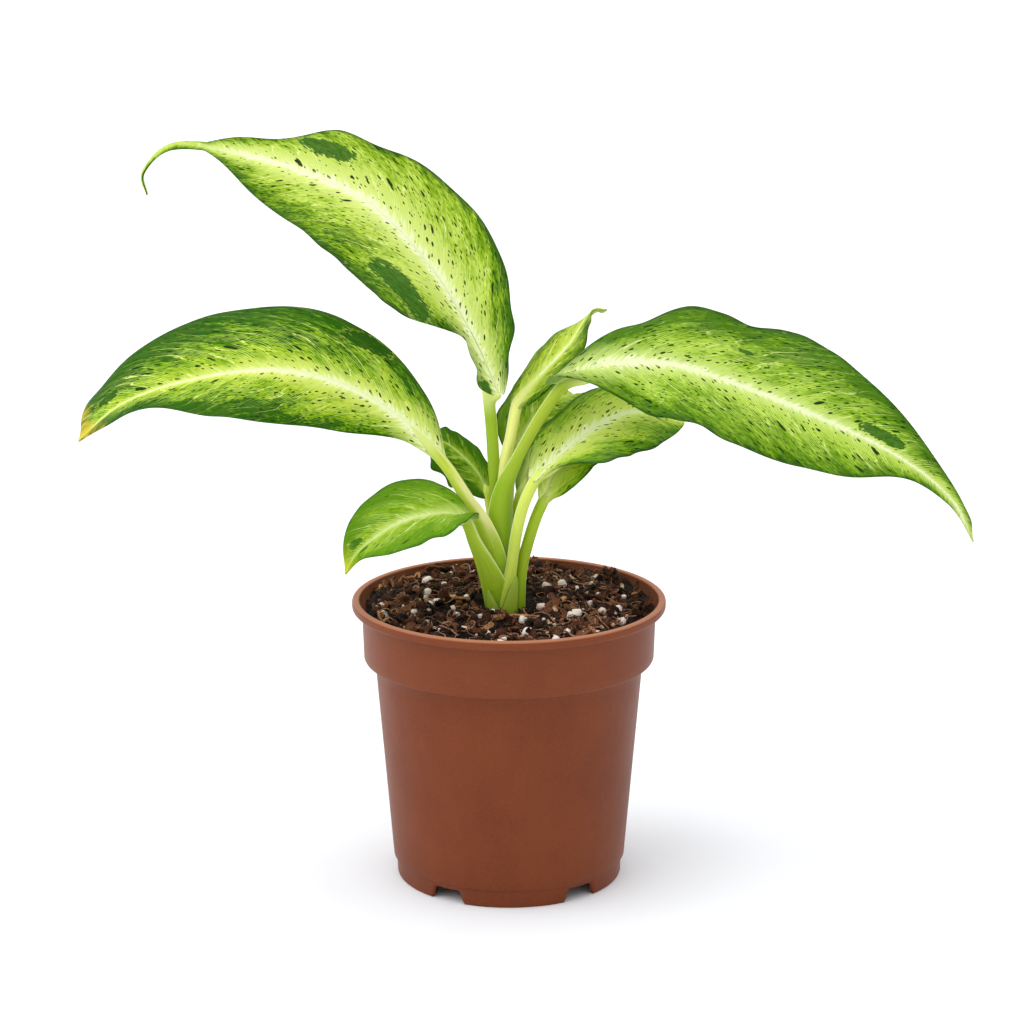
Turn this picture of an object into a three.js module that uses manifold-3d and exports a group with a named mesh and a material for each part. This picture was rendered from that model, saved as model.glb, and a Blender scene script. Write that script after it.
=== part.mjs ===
import * as THREE from 'three';
import { mergeVertices } from 'three/addons/utils/BufferGeometryUtils.js';
import Module from 'manifold-3d';

// Potted dieffenbachia, millimetres, +Z up. The origin is the middle of the pot's underside, and the
// side of the plant that is looked at faces -Y. Angles are in degrees unless a name says otherwise.

const SEED = 20417;
const GAP = 0.3;

const POT = {
  height: 110,
  rimRadius: 60,
  rimInner: 57.2,
  beadDepth: 3.6,
  collarTop: 56.2,
  collarBottom: 55.6,
  collarHeight: 23.2,
  bodyTop: 51.4,
  bodyBottom: 44.8,
  footRadius: 43.4,
  footHeight: 7,
  wall: 1.4,
  floorUnder: 6.5,
  floorThickness: 1.5,
  padRadius: 9,
  segments: 48,
};

const FEET = {
  count: 5,
  firstGap: 39,
  gapWidth: 13,
  gapHeight: 5,
  cornerRadius: 3,
};

const DRAIN = {
  holes: 10,
  ring: 30,
  radius: 3.5,
};

const SOIL = {
  edgeHeight: 106,
  mound: 1.6,
  backRise: 1.9,
  lump: 1.7,
  sides: 48,
  rings: 7,
  perlite: 28,
  bark: 14,
  bare: 14,
};

const CLUSTER = new THREE.Vector3(-1.2, -2.2, 0);

const CANE = {
  radius: 4.2,
  crownRadius: 5.6,
  bottom: 62,
  top: 116,
};

const BLADE = {
  thickness: 0.9,
  edgeThickness: 0.6,
  ribHalf: 2,
  ribHalfTip: 0.5,
  ribDepth: 2.2,
};

const STALK_TOP = 2.2;

// Each leaf's midrib runs through a few points from its stalk to its tip. Left and right are the half
// widths to either side, looking out along the leaf. Roll turns the blade about its midrib, fold lifts
// both halves at the midrib and curl bends them down again towards the margin; each is given from base
// to tip. The outline grows with the powers `base` and closes with the powers `tip`, left side first,
// and its margin ripples by `wave`, `waves` times along the blade, starting at each side's `phase`.
// Each of the `swells` of a side lets the margin run further out around a place along the blade: where
// it is, how far it reaches and by how much. A negative amount draws the margin in.
// The stalk's route runs from soil to blade, and its sheath is `wide` near the soil.
const LEAVES = {
  centre: {
    rib: [[3, 5, 184], [12, 10, 194], [23, 13, 205.5], [31, 14, 217.5], [37, 12, 219.4]],
    heading: 20,
    left: 13.5,
    right: 13,
    base: [0.75, 0.75],
    tip: [0.95, 0.95],
    swells: {
      left: [[0.62, 0.18, 5], [0.2, 0.1, -1.6]],
      right: [[0.85, 0.1, 2.4]],
    },
    roll: [20, 5, -25],
    fold: [20, 12, 5],
    curl: [25, 25, 30],
    wave: 0.4,
    waves: 2,
    phase: [0.1, 0.6],
    lobe: 3,
    steps: 18,
    stalk: {
      route: [[-1.5, -0.5, 119], [-3, 0, 140], [-1.5, 2, 162], [0.6, 3.4, 172], [2.7, 4.8, 183.2]],
      facing: 110,
      wide: 2.6,
      thick: 1.8,
      until: 0.9,
    },
  },

  right: {
    rib: [
      [22, -4, 196], [39, -8, 203], [62, -13, 203], [90, -20, 195],
      [118, -28, 185], [144, -35, 173], [162, -39, 159], [171, -41, 143],
    ],
    heading: -8,
    left: 31,
    right: 31,
    base: [1.3, 1.6],
    tip: [2.1, 2.4],
    swells: {
      left: [
        [0.14, 0.06, -1.6], [0.32, 0.05, 2.4], [0.42, 0.05, -2],
        [0.55, 0.06, 4], [0.67, 0.04, -1.2], [0.83, 0.08, 2.6],
      ],
      right: [[0.34, 0.05, -1.2], [0.5, 0.08, -2], [0.72, 0.07, 1.8], [0.83, 0.05, -1.2]],
    },
    roll: [70, 35, 52, 50],
    fold: [0, 15, 15, 15],
    curl: [35, 20, 20, 20],
    wave: 1.8,
    waves: 2.8,
    phase: [0.38, 0.2],
    lobe: 8,
    steps: 24,
    stalk: {
      route: [
        [-1.6, -2.5, 116], [-2.4, -3, 131], [-2.8, -3.6, 144], [-1.6, -4, 154],
        [2, -4, 163], [7, -4, 173], [14, -4, 185], [21, -4.1, 194],
      ],
      facing: -80,
      wide: 5.2,
      thick: 1.6,
      until: 0.66,
    },
  },

  upper_left: {
    rib: [
      [-6, 3, 190], [-14, 11, 210], [-30, 22, 234], [-52, 34, 255],
      [-78, 46, 266], [-111, 59, 273], [-132, 67, 273], [-142, 70, 262], [-141, 70, 254],
    ],
    heading: 160,
    left: 31,
    right: 28,
    base: [1.05, 0.8],
    tip: [1.15, 1.1],
    swells: {
      left: [[0.105, 0.035, -6.2], [0.22, 0.065, 6], [0.32, 0.08, 2.8]],
      right: [[0.12, 0.05, 1], [0.47, 0.05, -2.4], [0.58, 0.04, 1.8], [0.69, 0.05, -1.2]],
    },
    roll: [-45, -42, -45, -52],
    fold: [66, 34, 20, 18, 22],
    curl: [5, 20, 25, 25, 25],
    wave: 2,
    waves: 3.8,
    phase: [0.42, 0.35],
    lobe: 6,
    tail: 0.2,
    steps: 26,
    stalk: {
      route: [[-3.4, 0.8, 114], [-4.4, 1.4, 135], [-6.2, 2.2, 156], [-7, 2.6, 175], [-6.4, 2.9, 189]],
      facing: 160,
      wide: 3,
      thick: 1.6,
      until: 0.45,
    },
  },

  back: {
    rib: [[1, 11, 164], [7, 18, 173], [18, 28, 181], [32, 38, 182]],
    heading: 45,
    left: 13,
    right: 14,
    base: [0.8, 0.8],
    tip: [1.3, 1.3],
    swells: {
      left: [[0.45, 0.3, 1.5]],
      right: [],
    },
    roll: [50, 45, 30],
    fold: [30, 15, 15],
    curl: [15, 25, 25],
    wave: 0.6,
    waves: 2,
    phase: [0.1, 0.6],
    lobe: 2,
    steps: 16,
    stalk: {
      route: [[-0.8, 3, 99], [-0.8, 4.6, 124], [-0.4, 7, 145], [0.8, 10.6, 163]],
      facing: 80,
      wide: 3.2,
      thick: 1.5,
      until: 0.5,
    },
  },

  back_left: {
    rib: [[-8, 6, 150], [-13, 10, 158], [-22, 17, 165], [-31, 23, 168]],
    heading: 143,
    left: 11,
    right: 8.5,
    base: [0.7, 0.7],
    tip: [1.1, 1.1],
    swells: {
      left: [[0.72, 0.15, 4]],
      right: [[0.3, 0.14, -2], [0.85, 0.1, 2]],
    },
    roll: [-55, -50, -40],
    fold: [25, 15, 15],
    curl: [15, 20, 20],
    wave: 0.6,
    waves: 2,
    phase: [0.1, 0.6],
    lobe: 2,
    steps: 14,
    stalk: {
      route: [[-4.2, 1.6, 99], [-4.4, 4, 122], [-5.6, 5, 136], [-7.6, 5.8, 149]],
      facing: 140,
      wide: 3.2,
      thick: 1.5,
      until: 0.5,
    },
  },

  back_right: {
    rib: [[4.8, 4.4, 149.5], [6.8, 5.8, 156], [8.4, 7.2, 162], [9.8, 8.6, 168]],
    heading: -90,
    left: 5.5,
    right: 4.5,
    base: [0.9, 0.9],
    tip: [1.2, 1.2],
    roll: [0, 0, 0],
    fold: [20, 20, 15],
    curl: [20, 20, 20],
    wave: 0.3,
    waves: 2,
    phase: [0.1, 0.6],
    lobe: 0,
    steps: 12,
    stalk: {
      route: [[2.2, 1, 99], [2, 1.8, 122], [2.6, 2.8, 138], [4.4, 4.2, 148.6]],
      facing: 20,
      wide: 2.6,
      thick: 1.3,
      until: 0.5,
    },
  },

  left: {
    rib: [
      [-27, -5, 167], [-40, -9, 182], [-61, -15, 196], [-86, -21, 203],
      [-116, -29, 201], [-140, -36, 194], [-157, -41, 181],
    ],
    heading: 185,
    left: 25,
    right: 32,
    base: [1.5, 1],
    tip: [1, 0.9],
    swells: {
      left: [[0.25, 0.14, 2.6], [0.59, 0.1, 2.6], [0.78, 0.06, -2.8], [0.91, 0.05, 2.6]],
      right: [[0.15, 0.08, -1.2], [0.82, 0.1, 1.2], [0.93, 0.06, 5]],
    },
    roll: [-90, -60, -25, -10],
    fold: [5, 5, 18, 20],
    curl: [35, 32, 25, 25],
    wave: 1.6,
    waves: 2.1,
    phase: [0.37, 0.75],
    lobe: 3,
    steps: 24,
    stalk: {
      route: [
        [-4.4, -4.6, 106], [-6.2, -5.6, 124], [-10.8, -6.4, 140],
        [-16, -6.2, 150], [-21.6, -5.6, 160], [-26.4, -5.1, 166.4],
      ],
      facing: 230,
      wide: 4.6,
      thick: 1.6,
      until: 0.95,
    },
  },

  low_right: {
    rib: [[13, -2, 148], [16, 0, 156], [22, 6, 166], [30, 12, 172], [38, 18, 172]],
    heading: 40,
    left: 6.5,
    right: 14,
    base: [0.9, 0.9],
    tip: [1.2, 1.2],
    roll: [35, 30, 20],
    fold: [35, 15, 15],
    curl: [15, 20, 20],
    wave: 0.5,
    waves: 2,
    phase: [0.1, 0.6],
    lobe: 0,
    steps: 14,
    stalk: {
      route: [[3.2, -2.8, 98], [5.4, -2.4, 121], [7.8, -2.2, 132], [10.8, -2.1, 142], [12.8, -2, 147.4]],
      facing: -10,
      wide: 2.6,
      thick: 1.9,
      until: 0.4,
    },
  },

  low_left: {
    rib: [[-16, -12, 144], [-26, -17, 147], [-41, -23, 145], [-55, -27, 136], [-61, -28, 127]],
    heading: 190,
    left: 22.5,
    right: 20.5,
    base: [1, 1],
    tip: [1.4, 1.4],
    swells: {
      left: [[0.22, 0.09, -4]],
      right: [[0.18, 0.1, 2.6], [0.75, 0.12, 1.4]],
    },
    roll: [-12, -24, -30],
    fold: [28, 20, 32],
    curl: [15, 20, 15],
    wave: 0.5,
    waves: 2,
    phase: [0.1, 0.6],
    lobe: 4,
    steps: 16,
    stalk: {
      route: [[-4.6, -6.2, 98], [-6.8, -7.8, 113], [-9.8, -9.8, 126], [-13, -10.8, 135], [-16, -11.8, 143.2]],
      facing: 235,
      wide: 5.6,
      thick: 1.5,
      until: 0.8,
    },
  },

  mid_right: {
    rib: [[11, -6, 159], [22, -2, 168], [35, 4, 177], [50, 10, 180], [67, 16, 175]],
    heading: 5,
    left: 24,
    right: 26,
    base: [0.9, 1],
    tip: [1, 0.85],
    swells: {
      left: [],
      right: [[0.28, 0.06, 4.2], [0.46, 0.08, -2.2]],
    },
    roll: [22, 24, 22],
    fold: [32, 10, 14],
    curl: [15, 30, 25],
    wave: 1.2,
    waves: 2,
    phase: [0.1, 0.85],
    lobe: 3,
    steps: 18,
    stalk: {
      route: [
        [-1.8, -8, 98], [-1.2, -8.4, 111], [0.8, -8, 123], [2.6, -7.8, 136], [4.8, -7.3, 146],
        [7.6, -6.8, 153.4], [10.6, -6.2, 158.6],
      ],
      facing: -70,
      wide: 4,
      thick: 1.6,
      until: 0.45,
    },
  },
};

const SCALE_LEAF = {
  foot: [-4.4, -11.2, 102],
  height: 14,
  half: 3.6,
  thickness: 0.9,
  lean: 25,
  hollow: 0.1,
  clearance: 0.8,
};

const rad = THREE.MathUtils.degToRad;
const clamp = THREE.MathUtils.clamp;

function seededRandom(seed) {
  let state = seed >>> 0;
  return () => {
    state = (Math.imul(state, 1664525) + 1013904223) >>> 0;
    return state / 4294967296;
  };
}

const wasm = await Module();
wasm.setup();

// Closed triangles with shared corners, as the solid modeller needs them.
function toSolid(geometry) {
  const bare = geometry.clone();
  bare.deleteAttribute('normal');
  bare.deleteAttribute('uv');
  const merged = mergeVertices(bare, 1e-4);
  const index = merged.index.array;
  const kept = [];
  for (let i = 0; i < index.length; i += 3) {
    const [a, b, c] = [index[i], index[i + 1], index[i + 2]];
    if (a !== b && b !== c && c !== a) kept.push(a, b, c);
  }
  return new wasm.Manifold(new wasm.Mesh({
    numProp: 3,
    vertProperties: new Float32Array(merged.attributes.position.array),
    triVerts: new Uint32Array(kept),
  }));
}

function toGeometry(solid) {
  const mesh = solid.getMesh();
  const geometry = new THREE.BufferGeometry();
  geometry.setAttribute('position', new THREE.BufferAttribute(new Float32Array(mesh.vertProperties), 3));
  geometry.setIndex(new THREE.BufferAttribute(new Uint32Array(mesh.triVerts), 1));
  return geometry;
}

function largestBody(solid) {
  return solid.decompose().reduce((best, piece) => (piece.volume() > best.volume() ? piece : best));
}

// Closed body through rings with equal numbers of points; each ring runs anticlockwise seen from its
// front. Where `mirrorFrom` is given, the quads from that point on are split the other way round, so
// that the under side of a blade is split like its top.
function loft(rings, mirrorFrom = Infinity) {
  const around = rings[0].length;
  const positions = [];
  for (const ring of rings) {
    for (const point of ring) positions.push(point.x, point.y, point.z);
  }
  const index = [];
  for (let i = 0; i < rings.length - 1; i += 1) {
    for (let j = 0; j < around; j += 1) {
      const a = i * around + j;
      const b = i * around + ((j + 1) % around);
      const [c, d] = [b + around, a + around];
      if (j < mirrorFrom) index.push(a, b, c, a, c, d);
      else index.push(a, b, d, b, c, d);
    }
  }
  const capEnds = [[0, true], [rings.length - 1, false]];
  for (const [ringIndex, isStart] of capEnds) {
    const centre = new THREE.Vector3();
    for (const point of rings[ringIndex]) centre.addScaledVector(point, 1 / around);
    const hub = positions.length / 3;
    positions.push(centre.x, centre.y, centre.z);
    for (let j = 0; j < around; j += 1) {
      const a = ringIndex * around + j;
      const b = ringIndex * around + ((j + 1) % around);
      if (isStart) index.push(hub, b, a);
      else index.push(hub, a, b);
    }
  }
  const geometry = new THREE.BufferGeometry();
  geometry.setAttribute('position', new THREE.BufferAttribute(new Float32Array(positions), 3));
  geometry.setIndex(index);
  return geometry;
}

function curveThrough(points) {
  const passed = points.map((p) => new THREE.Vector3(...p));
  const curve = new THREE.CatmullRomCurve3(passed, false, 'catmullrom', 0.5);
  curve.arcLengthDivisions = 400;
  return curve;
}

// A value given at even steps from 0 to 1, read smoothly in between.
function along(values, t) {
  const place = clamp(t, 0, 1) * (values.length - 1);
  const i = Math.min(Math.floor(place), values.length - 2);
  const f = place - i;
  const eased = f * f * (3 - 2 * f);
  return values[i] + (values[i + 1] - values[i]) * eased;
}

function directionOf(degrees) {
  return new THREE.Vector3(Math.cos(rad(degrees)), Math.sin(rad(degrees)), 0);
}

// Leaf blades

function ribHalfAt(t) {
  return BLADE.ribHalf + (BLADE.ribHalfTip - BLADE.ribHalf) * Math.sqrt(t);
}

function swellAt(leaf, t, side) {
  const swells = leaf.swells?.[side > 0 ? 'left' : 'right'] ?? [];
  let sum = 0;
  for (const [at, reach, gain] of swells) sum += gain * Math.exp(-(((t - at) / reach) ** 2));
  return sum * THREE.MathUtils.smoothstep(t, 0, 0.06) * THREE.MathUtils.smoothstep(1 - t, 0, 0.04);
}

function halfWidth(leaf, t, side) {
  const tail = leaf.tail ?? 0;
  const body = clamp(t / (1 - tail), 0, 1);
  const [base, tip] = side > 0 ? [leaf.base[0], leaf.tip[0]] : [leaf.base[1], leaf.tip[1]];
  const fullest = base / (base + tip);
  const swell = (body / fullest) ** base * ((1 - body) / (1 - fullest)) ** tip;
  const widest = side > 0 ? leaf.left : leaf.right;
  const strip = tail > 0 ? 1.2 * clamp((t - 0.5) / 0.3, 0, 1) * Math.min((1 - t) / tail, 1) ** 0.6 : 0;
  return ribHalfAt(t) + strip + swell * (widest - BLADE.ribHalf) + swellAt(leaf, t, side);
}

function leafFrame(leaf, curve, t) {
  const point = curve.getPointAt(clamp(t, 0, 1));
  const forward = curve.getTangentAt(clamp(t, 0, 1));
  const sideways = directionOf(leaf.heading + 90);
  const flat = sideways.addScaledVector(forward, -sideways.dot(forward)).normalize();
  const above = new THREE.Vector3().crossVectors(forward, flat);
  const roll = rad(along(leaf.roll, t));
  const side = flat.clone().multiplyScalar(Math.cos(roll)).addScaledVector(above, Math.sin(roll));
  const normal = above.multiplyScalar(Math.cos(roll)).addScaledVector(flat, -Math.sin(roll));
  return { point, forward, side, normal };
}

// The blade's middle surface at t along the midrib and `distance` millimetres out to one side.
function bladePoint(leaf, curve, t, distance, side) {
  const frame = leafFrame(leaf, curve, t);
  const width = halfWidth(leaf, t, side);
  const out = distance / width;
  const fold = rad(along(leaf.fold, t));
  const curl = rad(Math.max(along(leaf.curl, t), 1));
  const across = width * (Math.sin(fold) - Math.sin(fold - curl * out)) / curl;
  const lift = width * (Math.cos(fold - curl * out) - Math.cos(fold)) / curl;
  const phase = side > 0 ? leaf.phase[0] : leaf.phase[1];
  const ripple = Math.sin(2 * Math.PI * (leaf.waves * t + phase)) * Math.sin(Math.PI * t) ** 0.7;
  const swept = leaf.lobe * out * out * Math.max(0, 1 - t / 0.22) ** 1.5;
  return frame.point
    .addScaledVector(frame.side, side * across)
    .addScaledVector(frame.normal, lift + leaf.wave * out * out * ripple)
    .addScaledVector(frame.forward, -swept);
}

function bladeGeometry(leaf, extra = 0) {
  const curve = curveThrough(leaf.rib);
  const halfSteps = leaf.steps > 20 ? 4 : 3;
  const rings = [];
  for (let i = 0; i <= leaf.steps; i += 1) {
    const even = i / leaf.steps;
    const t = 0.5 * even + 0.25 * (1 - Math.cos(Math.PI * even));
    const top = [];
    const under = [];
    for (let j = -halfSteps; j <= halfSteps; j += 1) {
      const side = j < 0 ? 1 : -1;
      const width = halfWidth(leaf, t, side) + extra;
      const ribHalf = ribHalfAt(t) * 0.999 + extra;
      const step = Math.abs(j);
      const distance = step === 0 ? 0 : ribHalf + (width - ribHalf) * (step - 1) / (halfSteps - 1);
      const middle = bladePoint(leaf, curve, t, distance, side);
      const ahead = bladePoint(leaf, curve, Math.min(t + 0.004, 1), distance * 0.999, side);
      const behind = bladePoint(leaf, curve, Math.max(t - 0.004, 0), distance * 0.999, side);
      const inward = bladePoint(leaf, curve, t, Math.max(distance - 0.4, 0), side);
      const outward = bladePoint(leaf, curve, t, Math.max(distance - 0.4, 0) + 0.4, side);
      const lengthwise = ahead.sub(behind);
      const crosswise = outward.sub(inward).multiplyScalar(side);
      const normal = step === 0
        ? leafFrame(leaf, curve, t).normal
        : new THREE.Vector3().crossVectors(lengthwise, crosswise).normalize();
      const thickness = step === halfSteps ? BLADE.edgeThickness : BLADE.thickness;
      const keel = step === 0 ? BLADE.ribDepth * (1 - t) ** 0.8 : 0;
      const endwise = leafFrame(leaf, curve, t).forward.multiplyScalar(extra * (2 * t - 1));
      top.push(middle.clone().add(endwise).addScaledVector(normal, thickness / 2 + extra));
      under.push(middle.add(endwise).addScaledVector(normal, -thickness / 2 - keel - extra));
    }
    rings.push([...top, ...under.reverse()]);
  }
  return loft(rings, 2 * halfSteps + 1);
}

// Leaf stalks, each widening into a sheath that wraps the stem near the soil

function stalkSection(stalk, t) {
  const spread = 1 - THREE.MathUtils.smoothstep(t, stalk.until * 0.35, stalk.until);
  return {
    half: STALK_TOP + (stalk.wide - STALK_TOP) * spread,
    thick: STALK_TOP + (stalk.thick - STALK_TOP) * spread,
    wrap: 0.55 * spread * clamp((stalk.wide - 2) / 2, 0, 1),
  };
}

function stalkGeometry(stalk, extra = 0) {
  const curve = curveThrough(stalk.route);
  const sides = 10;
  const steps = 10;
  const outward = directionOf(stalk.facing);
  const rings = [];
  for (let i = 0; i <= steps; i += 1) {
    const t = i / steps;
    const point = curve.getPointAt(t);
    const forward = curve.getTangentAt(t);
    if (i === 0) point.addScaledVector(forward, -extra);
    if (i === steps) point.addScaledVector(forward, extra);
    const out = outward.clone().addScaledVector(forward, -outward.dot(forward)).normalize();
    const side = new THREE.Vector3().crossVectors(out, forward);
    const section = stalkSection(stalk, t);
    const half = section.half + extra;
    const thick = section.thick + extra;
    const ring = [];
    for (let j = 0; j < sides; j += 1) {
      const angle = (2 * Math.PI * j) / sides;
      const across = Math.cos(angle);
      ring.push(point.clone()
        .addScaledVector(side, half * across)
        .addScaledVector(out, thick * Math.sin(angle) - section.wrap * half * across * across));
    }
    rings.push(ring);
  }
  return loft(rings);
}

// Stem, small base leaf, soil and pot

function caneGeometry(extra = 0) {
  const { radius, crownRadius, bottom, top } = CANE;
  const profile = [
    [0, bottom - extra], [radius * 0.6 + extra, bottom - extra], [crownRadius + extra, bottom + 6],
    [crownRadius + extra, bottom + 16], [radius + extra, bottom + 28], [radius + extra, top - 4],
    [radius * 0.6 + extra, top - 1], [0, top + extra],
  ];
  const geometry = new THREE.LatheGeometry(profile.map(([r, z]) => new THREE.Vector2(r, z)), 16);
  return geometry.rotateX(Math.PI / 2).translate(CLUSTER.x, CLUSTER.y, 0);
}

function scaleLeafGeometry(extra = 0) {
  const { foot, height, half, thickness, lean, hollow } = SCALE_LEAF;
  const rings = [];
  const steps = 6;
  for (let i = 0; i <= steps; i += 1) {
    const t = i / steps;
    const width = half * (1 - t) ** 0.7 * (0.75 + 0.6 * t) + 0.35 + extra;
    const leaning = -Math.sin(rad(lean)) * t * height * 0.6;
    const bowed = -1.2 * Math.sin(Math.PI * t * 0.6);
    const centre = new THREE.Vector3(...foot).add(new THREE.Vector3(leaning, bowed, t * height));
    const ring = [];
    for (let j = 0; j < 8; j += 1) {
      const angle = (2 * Math.PI * j) / 8;
      const across = Math.cos(angle);
      ring.push(new THREE.Vector3(
        centre.x + width * across,
        centre.y + (thickness / 2 + extra) * Math.sin(angle) + hollow * width * across * across,
        centre.z + extra * (2 * t - 1),
      ));
    }
    rings.push(ring);
  }
  return loft(rings);
}

function potGeometry() {
  const p = POT;
  const collarFoot = p.height - p.collarHeight;
  const beadFoot = p.height - p.beadDepth;
  const floorTop = p.floorUnder + p.floorThickness;
  const profile = [
    [0, 0], [p.padRadius, 0], [p.padRadius + 0.8, p.floorUnder], [p.footRadius - 2.2, p.floorUnder],
    [p.footRadius - 1.8, 0], [p.footRadius - 0.5, 0], [p.footRadius, 0.6],
    [p.footRadius + 0.3, p.footHeight - 0.6], [p.bodyBottom, p.footHeight + 0.6],
    [p.bodyTop, collarFoot - 0.9], [p.collarBottom - 0.6, collarFoot], [p.collarBottom, collarFoot + 0.7],
    [p.collarTop, beadFoot - 0.4], [p.rimRadius - 0.6, beadFoot], [p.rimRadius, beadFoot + 0.8],
    [p.rimRadius, p.height - 0.8], [p.rimRadius - 0.8, p.height], [p.rimInner, p.height],
    [p.collarTop - p.wall, beadFoot - 1], [p.collarBottom - p.wall, collarFoot + 1.6],
    [p.bodyTop - p.wall, collarFoot], [p.bodyBottom - p.wall, floorTop], [0, floorTop],
  ];
  const geometry = new THREE.LatheGeometry(profile.map(([r, z]) => new THREE.Vector2(r, z)), p.segments);
  return geometry.rotateX(Math.PI / 2);
}

function footGapGeometry() {
  const { gapWidth, gapHeight, cornerRadius } = FEET;
  const half = gapWidth / 2;
  const shape = new THREE.Shape();
  shape.moveTo(-half - cornerRadius, -1);
  shape.lineTo(-half - cornerRadius, 0);
  shape.quadraticCurveTo(-half, 0, -half, cornerRadius);
  shape.lineTo(-half + 0.4, gapHeight - 1);
  shape.quadraticCurveTo(-half + 0.5, gapHeight, -half + 1.6, gapHeight);
  shape.lineTo(half - 1.6, gapHeight);
  shape.quadraticCurveTo(half - 0.5, gapHeight, half - 0.4, gapHeight - 1);
  shape.lineTo(half, cornerRadius);
  shape.quadraticCurveTo(half, 0, half + cornerRadius, 0);
  shape.lineTo(half + cornerRadius, -1);
  const geometry = new THREE.ExtrudeGeometry(shape, { depth: 10, bevelEnabled: false, curveSegments: 3 });
  return geometry.rotateX(Math.PI / 2).translate(0, -(POT.footRadius - 6), 0);
}

function potSolid() {
  let solid = toSolid(potGeometry());
  for (let i = 0; i < FEET.count; i += 1) {
    const turn = rad(FEET.firstGap + (360 * i) / FEET.count);
    solid = solid.subtract(toSolid(footGapGeometry().rotateZ(turn)));
  }
  for (let i = 0; i < DRAIN.holes; i += 1) {
    const angle = (2 * Math.PI * (i + 0.5)) / DRAIN.holes;
    const hole = new THREE.CylinderGeometry(DRAIN.radius, DRAIN.radius, 6, 10).rotateX(Math.PI / 2);
    hole.translate(DRAIN.ring * Math.cos(angle), DRAIN.ring * Math.sin(angle), POT.floorUnder + 0.5);
    solid = solid.subtract(toSolid(hole));
  }
  return solid;
}

// Crumbly surface: a low mound with seeded lumps and hollows that fade out at the wall.
const soilLumps = (() => {
  const random = seededRandom(SEED);
  return Array.from({ length: 46 }, () => ({
    angle: 2 * Math.PI * random(),
    radius: 52 * Math.sqrt(random()),
    spread: 4 + 5 * random(),
    height: SOIL.lump * (1.6 * random() - 0.6),
  }));
})();

function soilHeight(x, y) {
  const reach = Math.hypot(x, y) / 54;
  const mound = SOIL.mound * Math.cos(0.5 * Math.PI * clamp(reach, 0, 1)) ** 1.5;
  const lumps = soilLumps.reduce((sum, lump) => {
    const dx = x - lump.radius * Math.cos(lump.angle);
    const dy = y - lump.radius * Math.sin(lump.angle);
    return sum + lump.height * Math.exp(-(dx * dx + dy * dy) / (lump.spread * lump.spread));
  }, 0);
  return SOIL.edgeHeight + mound + (SOIL.backRise * y) / 54 + lumps;
}

function soilGeometry() {
  const collarFoot = POT.height - POT.collarHeight;
  const bottom = POT.floorUnder + POT.floorThickness + GAP;
  const collarInner = POT.collarBottom - POT.wall - GAP - 0.2;
  const ringOf = (radius, height) => Array.from({ length: SOIL.sides }, (_, j) => {
    const angle = (2 * Math.PI * j) / SOIL.sides;
    const [x, y] = [radius * Math.cos(angle), radius * Math.sin(angle)];
    return new THREE.Vector3(x, y, height ?? soilHeight(x, y));
  });
  const rings = [
    ringOf(POT.bodyBottom - POT.wall - GAP - 0.4, bottom),
    ringOf(POT.bodyTop - POT.wall - GAP - 0.2, collarFoot + 0.4),
    ringOf(collarInner, collarFoot + 2.6),
    ringOf(collarInner),
  ];
  for (let i = 1; i < SOIL.rings; i += 1) {
    rings.push(ringOf(collarInner * (1 - i / SOIL.rings)));
  }
  return loft(rings);
}

function soilSolid(stems) {
  const random = seededRandom(SEED + 1);
  let solid = toSolid(soilGeometry());
  const place = (outermost) => {
    const angle = 2 * Math.PI * random();
    const radius = SOIL.bare + (outermost - SOIL.bare) * Math.sqrt(random());
    return [radius * Math.cos(angle), radius * Math.sin(angle)];
  };
  const turned = (geometry) => geometry
    .rotateX(Math.PI * random())
    .rotateY(Math.PI * random())
    .rotateZ(Math.PI * random());
  for (let i = 0; i < SOIL.perlite; i += 1) {
    const [x, y] = place(50);
    const size = 1.3 + 1.1 * random();
    const grain = turned(new THREE.OctahedronGeometry(size).scale(1, 0.8, 0.9));
    solid = solid.add(toSolid(grain.translate(x, y, soilHeight(x, y) + 0.1 * size)));
  }
  for (let i = 0; i < SOIL.bark; i += 1) {
    const [x, y] = place(47);
    const chip = new THREE.BoxGeometry(5 + 4 * random(), 2.5 + 2 * random(), 1.6);
    chip.rotateX(0.6 * (random() - 0.5)).rotateZ(Math.PI * random()).translate(x, y, soilHeight(x, y) + 0.2);
    solid = solid.add(toSolid(chip));
  }
  for (const stem of stems) solid = solid.subtract(stem);
  return largestBody(solid);
}

// Assembly

const MATERIALS = {
  pot: { color: 0x75401f, roughness: 0.45 },
  soil: { color: 0x33221a, roughness: 0.95 },
  cane: { color: 0x86a83c, roughness: 0.5 },
  scale_leaf: { color: 0x8fb04a, roughness: 0.55 },
  stalk: { color: 0xa6c24e, roughness: 0.45 },
  blade: { color: 0x8fb84a, roughness: 0.4 },
};

const potted = new THREE.Group();

function addPiece(name, geometry, look) {
  const mesh = new THREE.Mesh(geometry, new THREE.MeshStandardMaterial({ ...MATERIALS[look], metalness: 0 }));
  mesh.name = name;
  potted.add(mesh);
}

addPiece('pot', toGeometry(potSolid()), 'pot');

// Every stalk is cut clear of its own blade, and every outer sheath is hollowed where the inner ones stand.

const innerClear = [toSolid(caneGeometry(GAP))];
const hollowed = (solid) => largestBody(innerClear.reduce((rest, clear) => rest.subtract(clear), solid));
const stalks = {};
for (const [name, leaf] of Object.entries(LEAVES)) {
  const stalk = toSolid(stalkGeometry(leaf.stalk)).subtract(toSolid(bladeGeometry(leaf, GAP)));
  stalks[name] = hollowed(stalk);
  innerClear.push(toSolid(stalkGeometry(leaf.stalk, GAP)));
}
innerClear.push(toSolid(scaleLeafGeometry(SCALE_LEAF.clearance)));

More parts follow.
